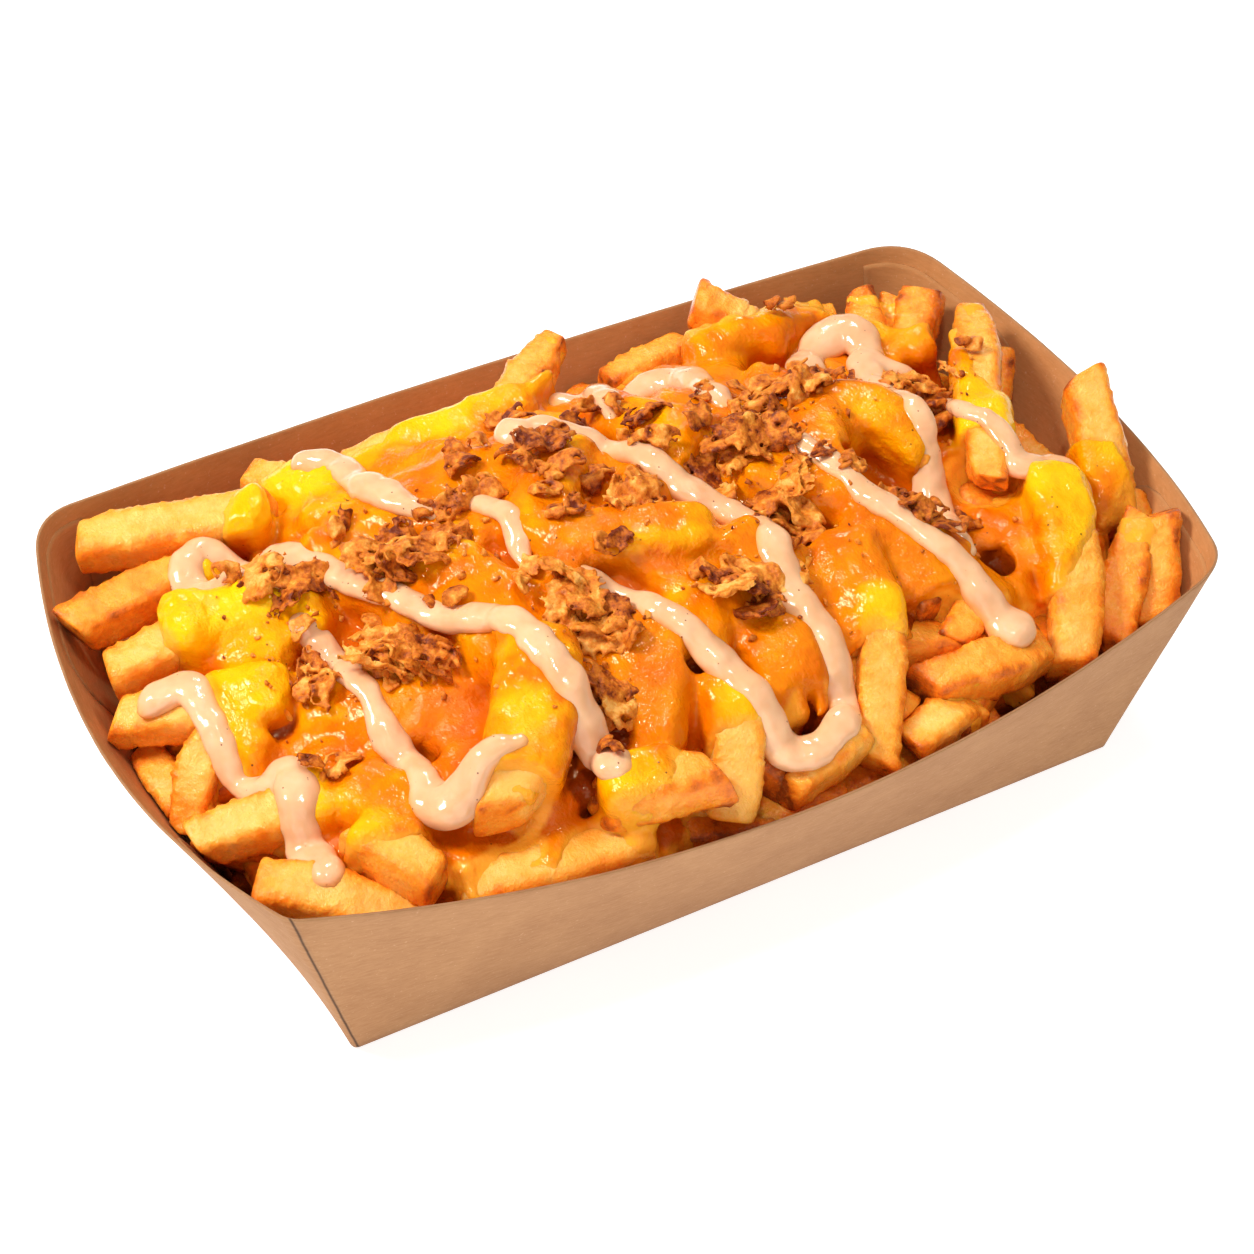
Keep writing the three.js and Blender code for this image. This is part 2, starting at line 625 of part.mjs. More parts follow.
const room = roomSolid();
const sauceWithGap = sauceSolid(GAP);
const sticks = [...BARE_FRIES, ...fillerRows()];
const bareFries = sticks.map((row, i) => frySolid(row, i));
const fries = mainBody(join([coreSolid(), ...bareFries]).intersect(room).subtract(sauceWithGap));
const foodWithGap = join([sauceWithGap, ...sticks.map((row, i) => frySolid(row, i, GAP))]);

const group = new THREE.Group();
group.add(toMesh(mainBody(traySolid()), "tray", FINISHES.board));
group.add(toMesh(fries, "fries", FINISHES.fry));
group.add(toMesh(mainBody(sauceSolid().intersect(room)), "cheese_sauce", FINISHES.sauce));
ONION_CLUMPS.forEach((clump, i) => {
  const clear = mainBody(onionSolid(clump, SEEDS.onions + i).subtract(foodWithGap));
  group.add(toMesh(clear, `onion_${i + 1}`, FINISHES.onion));
});

export default group;
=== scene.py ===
"""Loaded fries in a folded kraft paperboard tray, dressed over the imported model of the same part.

Shapes are worked out in millimetres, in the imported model's frame, and become metres when a mesh is made.
"""
import itertools
import math

import bpy
import numpy as np
from mathutils import Matrix


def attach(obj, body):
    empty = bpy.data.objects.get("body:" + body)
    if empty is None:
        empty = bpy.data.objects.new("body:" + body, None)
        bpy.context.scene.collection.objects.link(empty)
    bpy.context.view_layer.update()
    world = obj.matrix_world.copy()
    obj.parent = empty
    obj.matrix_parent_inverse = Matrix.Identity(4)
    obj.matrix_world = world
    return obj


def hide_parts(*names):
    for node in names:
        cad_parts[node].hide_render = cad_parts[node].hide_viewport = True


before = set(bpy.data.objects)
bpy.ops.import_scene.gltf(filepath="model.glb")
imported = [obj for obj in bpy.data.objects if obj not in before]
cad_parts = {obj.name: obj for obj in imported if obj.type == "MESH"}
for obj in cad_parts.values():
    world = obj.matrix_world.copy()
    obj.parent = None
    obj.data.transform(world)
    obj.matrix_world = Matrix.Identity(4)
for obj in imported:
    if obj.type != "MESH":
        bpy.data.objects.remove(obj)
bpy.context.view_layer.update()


# Tray board
# One sheet of brown kraft paperboard about 0.6 mm thick, cut, creased and folded up into a flat base
# and four leaning walls with bowed rims. It is uncoated, so its fibres show on both faces.
BASE_HALF_LENGTH, BASE_HALF_WIDTH = 85.0, 51.0
RIM_HALF_LENGTH, RIM_HALF_WIDTH = 100.0, 57.0
RIM_HEIGHT = 50.0
END_BULGE, END_DIP = 11.2, 5.0
SIDE_BULGE, SIDE_DIP = 11.95, 9.0
BOARD = 0.6
BASE_CORNER_RADIUS = 1.5
RIM_CORNER_RADII = (8.0, 7.0, 2.0, 6.0)  # back right, back left, front left, front right
SIDE_STEPS = (44, 72, 44, 72)
CORNER_STEPS = 8
# The cut edge of the front wall runs up beside the front left fold: metres of x for each metre of z, and -x at z 0.
SEAM_SLOPE = 0.3
SEAM_START = 0.0838


def smooth_noise(points, size, seed):
    """Gradient noise from about -1 to 1: a random slope at each corner of a lattice of that size in mm,
    read off at the point from its cell's eight corners and blended by the curve 6t^5 - 15t^4 + 10t^3."""
    slopes = np.random.default_rng(seed).normal(size=(256, 3))
    slopes /= np.linalg.norm(slopes, axis=1)[:, None]
    cells = np.asarray(points) / size
    base = np.floor(cells).astype(np.int64)
    part = cells - base
    blend = part**3 * (part * (part * 6 - 15) + 10)
    total = np.zeros(part.shape[:-1])
    for corner in itertools.product((0, 1), repeat=3):
        place = base + corner
        mixed = place[..., 0] * 73856093 ^ place[..., 1] * 19349663 ^ place[..., 2] * 83492791
        mixed = (mixed ^ (mixed >> 11)) * 668265263
        slope = slopes[(mixed ^ (mixed >> 15)) & 255]
        weight = np.prod(np.where(corner, blend, 1 - blend), axis=-1)
        total += weight * np.sum(slope * (part - corner), axis=-1)
    return total * 1.6


def ramp(value, low, high):
    """0 below low, 1 above high, and an S-curve between."""
    t = np.clip((value - low) / (high - low), 0, 1)
    return t * t * (3 - 2 * t)


def put_mesh(name, points, faces, finish, slot, replaced=(), **marks):
    """A smooth-shaded piece from points in mm and a list of face arrays, each of three or four corners a row.
    Each mark is one number a point, kept as an attribute that the piece's material reads."""
    mesh = bpy.data.meshes.new(name)
    corners = np.concatenate([f.reshape(-1) for f in faces])
    sides = np.concatenate([np.full(len(f), f.shape[1]) for f in faces])
    mesh.vertices.add(len(points))
    mesh.vertices.foreach_set("co", (np.asarray(points) * 0.001).astype(np.float32).reshape(-1))
    mesh.loops.add(len(corners))
    mesh.loops.foreach_set("vertex_index", corners.astype(np.int32))
    mesh.polygons.add(len(sides))
    mesh.polygons.foreach_set("loop_start", np.r_[0, np.cumsum(sides)[:-1]].astype(np.int32))
    mesh.polygons.foreach_set("use_smooth", np.ones(len(sides), dtype=bool))
    for mark, numbers in marks.items():
        layer = mesh.attributes.new(mark, "FLOAT", "POINT")
        layer.data.foreach_set("value", np.asarray(numbers, dtype=np.float32))
    mesh.update(calc_edges=True)
    mesh.validate()
    mesh.materials.append(finish)
    piece = bpy.data.objects.new(name, mesh)
    bpy.context.scene.collection.objects.link(piece)
    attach(piece, "root")
    if replaced:
        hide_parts(*replaced)
    return piece


def tube_faces(rings, around, tubes=1):
    """Faces of closed tubes: quads between neighbouring rings and a fan over each end. A tube's points are
    its rings in turn, each of `around` points, then the middle of its first end and of its last end."""
    ring, spoke = np.meshgrid(np.arange(rings - 1), np.arange(around), indexing="ij")
    here = (ring * around + spoke).reshape(-1)
    beside = (ring * around + (spoke + 1) % around).reshape(-1)
    quads = np.stack([here, beside, beside + around, here + around], axis=-1)
    turn = np.arange(around)
    following = (turn + 1) % around
    last = (rings - 1) * around
    first_end = np.stack([np.full(around, rings * around), following, turn], axis=-1)
    last_end = np.stack([np.full(around, rings * around + 1), last + turn, last + following], axis=-1)
    starts = np.arange(tubes)[:, None, None] * (rings * around + 2)
    fans = np.concatenate([first_end, last_end])
    return [(quads + starts).reshape(-1, 4), (fans + starts).reshape(-1, 3)]


def wall_edge(side, along, level):
    """A line round the tray's wall at a level from 0, base, to 1, rim. Side 0 to 3 are the right, back, left
    and front walls, along runs from -1 to 1, and each wall is ruled between its straight base and bowed rim."""
    hump = 1 - along**2
    is_end = side % 2 == 0
    bulge, dip = (END_BULGE, END_DIP) if is_end else (SIDE_BULGE, SIDE_DIP)
    base_out, base_across = (BASE_HALF_LENGTH, BASE_HALF_WIDTH) if is_end else (BASE_HALF_WIDTH, BASE_HALF_LENGTH)
    rim_out, rim_across = (RIM_HALF_LENGTH, RIM_HALF_WIDTH) if is_end else (RIM_HALF_WIDTH, RIM_HALF_LENGTH)
    out = base_out + (rim_out + bulge * hump - base_out) * level
    across = along * (base_across + (rim_across - base_across) * level)
    x, y = [(out, across), (-across, out), (-out, -across), (across, -out)][side]
    return np.stack([x, y, (RIM_HEIGHT - dip * hump) * level], axis=-1)


def tray_ring(level, inset=0.0):
    """The tray's outline at a level, moved inward by inset mm: four sides with a corner between each pair,
    rounded as a quadratic Bezier curve from one side's end to the next one's start."""
    parts = []
    for side in range(4):
        radii = [BASE_CORNER_RADIUS * (1 - level) + RIM_CORNER_RADII[k] * level for k in (side - 1, side)]
        half, next_half = [(BASE_HALF_WIDTH, BASE_HALF_LENGTH), (BASE_HALF_LENGTH, BASE_HALF_WIDTH)][side % 2]
        start, stop = -1 + radii[0] / half, 1 - radii[1] / half
        parts.append(wall_edge(side, np.linspace(start, stop, SIDE_STEPS[side]), level))
        corner, beyond = (
            wall_edge((side + k) % 4, np.array([a]), level)
            for k, a in ((0, 1.0), (1, -1 + radii[1] / next_half))
        )
        t = np.linspace(0, 1, CORNER_STEPS + 2)[1:-1, None]
        parts.append((1 - t) ** 2 * parts[-1][-1:] + 2 * t * (1 - t) * corner + t**2 * beyond)
    ring = np.concatenate(parts)
    chord = np.roll(ring, 1, axis=0) - np.roll(ring, -1, axis=0)
    inward = np.stack([chord[:, 1], -chord[:, 0]], axis=-1)
    inward /= np.linalg.norm(inward, axis=1)[:, None]
    ring[:, :2] += inward * inset
    return ring


def flat_ring(scale, inset, height):
    """The base's outline shrunk towards its middle and laid at a height."""
    return tray_ring(0.0, inset) * (scale, scale, 0) + (0, 0, height)


def wavering(ring, level, seed=3):
    """The ring with the board's slight unevenness: up to 0.5 mm inward, most at the rim."""
    wave = 0.25 + 0.25 * smooth_noise(ring, 38.0, seed) + 0.06 * smooth_noise(ring, 7.0, seed + 1)
    inward = -ring[:, :2] / np.linalg.norm(ring[:, :2], axis=1)[:, None]
    ring[:, :2] += inward * (wave * level)[:, None]
    return ring


class Finish:
    """A material under way. Its calls add nodes and give back their outputs, which further calls take."""

    def __init__(self, name):
        self.material = bpy.data.materials.new(name)
        self.material.use_nodes = True
        self.tree = self.material.node_tree
        self.shader = self.tree.nodes["Principled BSDF"]
        self.place = self.add("TexCoord").outputs["Object"]

    def add(self, kind, sockets=None, **settings):
        """A node of that kind with its settings, each socket given a value or joined to an output."""
        node = self.tree.nodes.new("ShaderNode" + kind)
        for key, value in settings.items():
            setattr(node, key, value)
        for key, value in (sockets or {}).items():
            self.plug(node.inputs[key], value)
        return node

    def plug(self, socket, value):
        if isinstance(value, bpy.types.NodeSocket):
            self.tree.links.new(value, socket)
        else:
            socket.default_value = value

    def stretched(self, x, y, z):
        """The place on the piece, scaled apart along the three axes."""
        return self.add("Mapping", {"Vector": self.place, "Scale": (x, y, z)}).outputs[0]

    def noise(self, size, detail=3.0, roughness=0.55, place=None):
        """Cloudy noise from 0 to 1 whose patches are about that many mm across."""
        sockets = {"Vector": place or self.place, "Scale": 1000 / size, "Detail": detail, "Roughness": roughness}
        return self.add("TexNoise", sockets).outputs["Fac"]

    def cells(self, size, place=None):
        """Distance to the nearest of scattered points that are about that many mm apart."""
        return self.add("TexVoronoi", {"Vector": place or self.place, "Scale": 1000 / size}).outputs["Distance"]

    def mark(self, name):
        """The number that the mesh keeps for each point under that name."""
        return self.add("Attribute", attribute_name=name).outputs["Fac"]

    def rescale(self, value, low, high, new_low=0.0, new_high=1.0):
        """The value carried from one range to another and kept inside it."""
        sockets = {"Value": value, 1: low, 2: high, 3: new_low, 4: new_high}
        return self.add("MapRange", sockets, clamp=True).outputs["Result"]

    def sum(self, *values):
        """The values added up."""
        total = values[0]
        for value in values[1:]:
            total = self.add("Math", {0: total, 1: value}, operation="ADD").outputs[0]
        return total

    def times(self, a, b):
        return self.add("Math", {0: a, 1: b}, operation="MULTIPLY").outputs[0]

    def blend(self, share, first, second, mode="MIX"):
        """One colour mixed with a second by a share from 0 to 1."""
        node = self.add("Mix", {"Factor": share}, data_type="RGBA", blend_type=mode)
        self.plug(node.inputs[6], first)
        self.plug(node.inputs[7], second)
        return node.outputs[2]

    def bump(self, height, strength, depth, under=None):
        """Relief from a height: depth is in mm."""
        sockets = {"Height": height, "Strength": strength, "Distance": depth * 0.001}
        if under is not None:
            sockets["Normal"] = under
        return self.add("Bump", sockets).outputs["Normal"]

    def done(self, **sockets):
        """Sets the shader's sockets, named with _ for a space, and gives back the material."""
        for key, value in sockets.items():
            self.plug(self.shader.inputs[key.replace("_", " ")], value)
        return self.material


def kraft_finish(name, outer, inner):
    """Brown kraft board: long pulp fibres, paler flecks and soft cloudy stains, matt, with a fibrous relief."""
    kraft = Finish(name)
    fibres = kraft.noise(0.55, 4.0, 0.7, kraft.stretched(0.22, 0.22, 1.0))
    clouds = kraft.noise(14.0, 4.0, 0.6)
    flecks = kraft.rescale(kraft.noise(0.7, 2.0, 0.6), 0.64, 0.78)
    side = kraft.mark("inside")
    base = kraft.blend(side, outer[0], inner[0])
    dark = kraft.blend(side, outer[1], inner[1])
    colour = kraft.blend(kraft.rescale(kraft.sum(fibres, clouds), 0.75, 1.3), dark, base)
    colour = kraft.blend(kraft.times(flecks, 0.35), colour, (0.75, 0.5, 0.3, 1))
    # The shade mark paints shade at the foot of the outer walls and darkens the board along the rim's and the tabs' cut
    # edges.
    colour = kraft.blend(kraft.mark("shade"), colour, (0.09, 0.04, 0.02, 1))
    x, _, z = kraft.add("SeparateXYZ", {"Vector": kraft.place}).outputs
    beyond_fold = kraft.sum(x, kraft.times(z, SEAM_SLOPE), SEAM_START)
    gap = kraft.add("Math", {0: kraft.sum(beyond_fold, kraft.times(clouds, 0.0006))}, operation="ABSOLUTE").outputs[0]
    line = kraft.times(kraft.rescale(gap, 0.00008, 0.00034, 0.85, 0.0), kraft.mark("front"))
    colour = kraft.blend(line, colour, (0.05, 0.022, 0.012, 1))
    step = kraft.times(kraft.rescale(beyond_fold, -0.0001, 0.0004), kraft.mark("front"))
    relief = kraft.bump(fibres, 0.35, 0.12, kraft.bump(clouds, 0.2, 0.5, kraft.bump(step, 0.6, 0.6)))
    return kraft.done(
        Base_Color=colour,
        Roughness=kraft.rescale(fibres, 0.3, 0.7, 0.9, 0.72),
        Normal=relief,
        Specular_IOR_Level=0.25,
    )


# The inner face is the same board: its warmer, more saturated orange is painted light bounced from the cheese sauce.
OUTER_KRAFT = ((0.48, 0.245, 0.108, 1), (0.39, 0.185, 0.078, 1))
INNER_KRAFT_PAINTED_BOUNCE = ((0.54, 0.235, 0.078, 1), (0.44, 0.18, 0.055, 1))

levels = np.linspace(0.006, 0.995, 30)
flat = np.array([0.3, 0.6, 0.85, 1.0])
rings = [flat_ring(s, 0.45, 0.0) for s in flat] + [flat_ring(1.0, 0.1, 0.12)]
rings += [wavering(tray_ring(level), level) for level in levels]
rings += [
    wavering(tray_ring(1.0, inset), 1.0) + (0, 0, rise)
    for inset, rise in ((0.06, 0.08), (0.2, 0.14), (0.4, 0.14), (0.54, 0.08))
]
rings += [wavering(tray_ring(level, BOARD), level) for level in levels[::-1] if level > 0.02]
rings += [flat_ring(s, BOARD + 0.15, BOARD) for s in flat[::-1]]
board_points = np.concatenate(rings + [[[0, 0, 0]], [[0, 0, BOARD]]])
board_around = len(rings[0])
rim_row = 5 + len(levels)
row = np.repeat(np.arange(len(rings)), board_around)
inside = np.r_[ramp(row, rim_row + 1, rim_row + 5), 0, 1]

# The glued corner at the front left shows the cut edge of the front wall as a thin dark line.
front = (board_points[:, 1] < -BASE_HALF_WIDTH + 0.5) & (inside < 0.5) & (board_points[:, 2] > 0.2)
# Painted shade: the outer face darkens towards the floor at the foot of the walls and over the base's underside. The
# rim's cut edge is darker too.
foot_shade = np.exp(-((board_points[:, 2] / 1.1) ** 2)) * (1 - inside)
raw_edge = np.exp(-(((np.r_[row, 0, 0] - rim_row - 1.5) / 1.6) ** 2))
shade = 0.3 * foot_shade + 0.35 * raw_edge
kraft_board = kraft_finish("kraft_board", OUTER_KRAFT, INNER_KRAFT_PAINTED_BOUNCE)
put_mesh(
    "tray_board",
    board_points,
    tube_faces(len(rings), board_around),
    kraft_board,
    "kraft_board",
    ["tray"],
    inside=inside,
    shade=np.clip(shade, 0, 1),
    front=front,
)


# Glued tabs
# At each corner the long wall carries on as a tab that is glued inside the end wall, so the corners are
# two boards thick up to a little below the rim. Each tab's free end on the end wall is cut round.
TAB_START_X = 90.0
TAB_END_Y = 20.0
TAB_FOOT, TAB_TOP = 0.42, 0.93
TAB_ROUNDING = 9.0
TAB_STATIONS = 44


def tab_strip(right, back):
    """One tab's closed strip: stations spaced evenly along the wall, each a loop that goes up the tab's
    inner face and down its outer face. The free end draws back towards the top in a quarter circle."""
    sheets = []
    for inset in (2 * BOARD - 0.02, BOARD + 0.06):
        lines = []
        for level in np.linspace(TAB_FOOT, TAB_TOP, 26):
            ring = tray_ring(level, inset)
            ring = ring[(ring[:, 0] * right > 70) & (ring[:, 1] * back > 8)]
            turn = np.arctan2(ring[:, 1] * back - 8, ring[:, 0] * right - 60)
            ring = ring[np.argsort(turn)]
            length = np.r_[0, np.cumsum(np.linalg.norm(np.diff(ring, axis=0), axis=1))]
            over = max(0.0, TAB_ROUNDING - (TAB_TOP - level) * RIM_HEIGHT)
            end_y = TAB_END_Y + TAB_ROUNDING - math.sqrt(TAB_ROUNDING**2 - over**2)
            free_end = np.interp(end_y, ring[:, 1] * back, length)
            fold_end = np.interp(-TAB_START_X, -ring[:, 0] * right, length)
            places = np.linspace(free_end, fold_end, TAB_STATIONS)
            lines.append(np.stack([np.interp(places, length, ring[:, k]) for k in range(3)], axis=-1))
        sheets.append(np.array(lines))
    return np.concatenate([sheets[0], sheets[1][::-1]]).transpose(1, 0, 2)


tabs = np.array([tab_strip(right, back) for right in (1, -1) for back in (1, -1)])
tab_loop = tabs.shape[2]
tab_quads = tube_faces(TAB_STATIONS, tab_loop)[0]
low = np.arange(tab_loop // 2 - 1)
tab_end = np.stack([low + 1, low, tab_loop - 1 - low, tab_loop - 2 - low], axis=-1)
tab_quads = np.concatenate([tab_quads, tab_end, tab_end[:, ::-1] + (TAB_STATIONS - 1) * tab_loop])
tab_starts = np.arange(len(tabs))[:, None, None] * TAB_STATIONS * tab_loop
station, row = np.meshgrid(np.arange(TAB_STATIONS), np.arange(tab_loop), indexing="ij")
cut_edge = np.minimum(np.minimum(station, TAB_STATIONS - 1 - station), np.abs(row - tab_loop // 2 + 0.5))
tab_shade = np.tile(0.4 * np.exp(-1.5 * cut_edge).reshape(-1), len(tabs))
put_mesh(
    "tray_tabs",
    tabs.reshape(-1, 3),
    [(tab_quads + tab_starts).reshape(-1, 4)],
    kraft_board,
    "kraft_board",
    ["tray"],
    inside=np.ones(len(tab_shade)),
    shade=tab_shade,
    front=np.zeros(len(tab_shade)),
)




# Fries
# Thick-cut potato sticks, 9 to 12 mm across, fried golden: pale cut faces with fine blisters, and browner
# corners and ends. The ones that show lie where the photograph has them; more lie under and round them.
WALL_CLEARANCE = 1.5
HEAP_RIM_HEIGHT, HEAP_RISE = 33.0, 31.0
HEAP_HALF_LENGTH, HEAP_HALF_WIDTH = 100.0, 66.0
HEAP_CENTRE_Y = -3.0
HEAP_ROUNDNESS = 2.4
FILLER_COUNT = 22
FILLER_DEPTH = 8.0
FILLER_LENGTH = 34.0

# Columns: x, y, z of both ends of the centreline, thickness, sideways bow and arch, in mm.
BARE_FRIES = [
    (-93, 51, 44, -60, 38, 50, 10.5, 0, 0),
    (-103, 31, 43.5, -74, 35, 44, 10, 0, 0),
    (-101, 18, 42, -68, 15, 50, 10.5, 0, 0),
    (-105, 8.5, 40, -76, -6, 47, 10, 0, 0),
    (-101, 5, 31, -99, -11, 32, 9, 0, 0),
    (-101, -15, 32, -86, -4, 44, 10.5, -2, 1),
    (-102, -23.5, 38, -79, -29, 43, 10, 0, 0),
    (-97, -37, 37, -76, -57, 34, 10.5, 0, 2),
    (-37, -55, 48, -16, -60, 49, 10.5, 0, 0),
    (-14, -61, 38, -4, -44, 51, 11.5, 1, 1),
    (-2, -62, 39, 17, -57, 43.5, 9.5, 0, 0),
    (17, -62, 37, 33, -37, 53.5, 10.5, 0, 1),
    (25, -61, 38, 41, -59, 37.5, 9, 0, 2),
    (32, -53.5, 43, 61, -52.5, 40, 10.5, 2, 2),
    (42, -48, 46, 56, -40, 46, 9, 0, 0),
    (42, -41, 48, 44, -20, 51, 9, 0, 0),
    (64, -58, 37, 82, -20, 50, 11.5, 3, 1),
    (103, -3, 54, 96, -30, 37, 11.5, 0, 0),
    (95.5, -35, 45.5, 76, -55, 34, 10, 0, 0),
    (99, -36.5, 46.5, 88, -53, 34, 10, 0, 0),
    (103, -22, 39, 97, -36, 35, 8, 0, 0),
    (94, 12, 32, 100, -10, 30, 9, 0, 0),
    (101, 22, 42, 90, 8, 38, 9, 0, 0),
    (99, 30.5, 49, 70, -19, 52, 10.5, 0, 0),
    (95, 42, 48, 82, 28, 42, 10, 0, 0),
    (82.5, 47, 47, 76, 34, 43, 9.5, 0, 0),
    (89, 45, 45, 84, 38, 40, 8.5, 0, 0),
    (46, 56, 52, 60, 42, 45, 10.5, 0, 0),
    (14, 57, 52.5, -4, 45, 48, 10, 0, 0),
    (44, 57, 38, 24, 53, 39, 9, 0, 0),
]

# Fries that the cheese sauce coats, in the same columns.
COATED_FRIES = [
    (-78, -40, 44, -70, -55, 42, 10, 0, 0),
    (-66, -55, 37, -30, -60, 39, 10, 0, 0),
    (-56, -51, 48.5, -34, -22, 58, 14.5, 3, 2),
    (-55, 57, 41, -44, 36, 47, 10, 0, 0),
    (-38, 47, 44, 0, 43, 49, 10, 0, 1),
    (40, 46, 47, 76, 49, 42, 10, 0, 1),
    (-4, 20, 57, -20, -6, 58, 10, 3, 1),
    (-21, -5, 58, 8, -14, 58, 11, 0, 1),
    (-39, 4, 56, -37, -26, 54, 10, -3, 0),
    (44, 12, 53, 62, -6, 51, 10, -4, 3),
    (35, -19, 54, 52, -36, 48, 10, 0, 1),
    (-84, 14, 42, -62, 8, 49, 10, 0, 0),
]


# Deep gaps between the fries, which the sauce leaves open too: x, y and size, in mm.
HOLLOWS = [
    (47, -7, 6), (-9, -39, 3), (-79, -10, 3.5), (9, -51, 1.6), (37, -42, 3), (-72, -25, 3), (-40, -44, 4),
    (62, -34, 5), (51, -14, 4), (-29, -45, 3), (-60, -33, 3), (15, 2, 3), (-38, -50, 4), (85, 8, 5),
]


def heap_top(x, y):
    """Height of the heap's even top: a low dome whose two falls are one less a power of the distance."""
    lengthwise = 1 - np.minimum(1, np.abs(x / HEAP_HALF_LENGTH)) ** HEAP_ROUNDNESS
    crosswise = 1 - np.minimum(1, np.abs((y - HEAP_CENTRE_Y) / HEAP_HALF_WIDTH)) ** HEAP_ROUNDNESS
    return HEAP_RIM_HEIGHT + HEAP_RISE * lengthwise * crosswise


def keep_inside(points, clearance):
    """The points moved inward along x and y until each is clear of the leaning walls at its height."""
    across_end = np.clip(points[..., 1] / RIM_HALF_WIDTH, -1, 1)
    across_side = np.clip(points[..., 0] / RIM_HALF_LENGTH, -1, 1)
    limits = []
    for side, across, base in ((0, across_end, BASE_HALF_LENGTH), (1, across_side, BASE_HALF_WIDTH)):
        rim = wall_edge(side, across, 1.0)
        limits.append(base + (rim[..., side] - base) * points[..., 2] / rim[..., 2] - clearance)
    limit = np.stack([limits[0], limits[1], np.full_like(limits[0], np.inf)], axis=-1)
    return np.clip(points, -limit, limit)


def filler_fries():
    """Fries round the walls in turn, each leaning on the wall and running inward at its own slant, drawn
    from the remainder sequence s -> (1664525 s + 1013904223) mod 2^32 that starts at 7."""
    state = 7
    rows = []
    for i in range(FILLER_COUNT):
        draws = []
        for _ in range(4):
            state = (state * 1664525 + 1013904223) % 2**32
            draws.append(state / 2**32)
        angle = (i + 0.5) / FILLER_COUNT * 2 * math.pi
        x, y = 96 * math.cos(angle), 58 * math.sin(angle)
        slant = angle + (draws[0] - 0.5) * 2.6
        reach = FILLER_LENGTH * (0.7 + 0.5 * draws[1])
        x2, y2 = x - reach * math.cos(slant), y - reach * math.sin(slant)
        z = heap_top(x, y) - FILLER_DEPTH + 5 * draws[2]
        rows.append((x, y, z, x2, y2, heap_top(x2, y2) - FILLER_DEPTH, 8.5 + draws[3], 0, 0))
    return rows


def buried_fries(count, depth, seed):
    """Fries strewn at random just under the others: seeded middles over the heap, any direction in plan."""
    rng = np.random.default_rng(seed)
    x = rng.uniform(-88, 88, count)
    y = rng.uniform(-48, 46, count)
    turn = rng.uniform(0, math.pi, count)
    half = rng.uniform(16, 27, count)
    ends = []
    for sign in (-1, 1):
        ex, ey = x + sign * half * np.cos(turn), y + sign * half * np.sin(turn)
        ends += [ex, ey, heap_top(ex, ey) - depth + rng.uniform(-2, 2, count)]
    return np.stack([*ends, rng.uniform(8.5, 10, count), np.zeros(count), np.zeros(count)], axis=-1)


def wall_fries(count, depth, seed):
    """Fries that lie along the walls just under the others, end over end round the tray."""
    rng = np.random.default_rng(seed)
    around = (np.arange(count) + rng.uniform(-0.3, 0.3, count)) / count * 2 * math.pi
    x, y = 97 * np.cos(around), 60 * np.sin(around)
    turn = np.arctan2(60 * np.cos(around), -97 * np.sin(around)) + rng.uniform(-0.7, 0.7, count)
    half = rng.uniform(12, 20, count)
    ends = []
    for sign in (-1, 1):
        ex, ey = x + sign * half * np.cos(turn), y + sign * half * np.sin(turn)
        ends += [ex, ey, heap_top(x, y) - depth + rng.uniform(-2.5, 2.5, count)]
    return np.stack([*ends, rng.uniform(8.5, 10, count), np.zeros(count), np.zeros(count)], axis=-1)


def clear_of_hollows(rows):
    """Only the fries that pass no hollow within its size in plan."""
    kept = np.ones(len(rows), dtype=bool)
    for x, y, size in HOLLOWS:
        start, across = rows[:, :2], rows[:, 3:5] - rows[:, :2]
        away = np.array([x, y]) - start
        share = np.clip(np.sum(away * across, axis=1) / np.sum(across**2, axis=1), 0, 1)
        kept &= np.linalg.norm(away - share[:, None] * across, axis=1) > 0.7 * size + rows[:, 6] / 2
    return rows[kept]


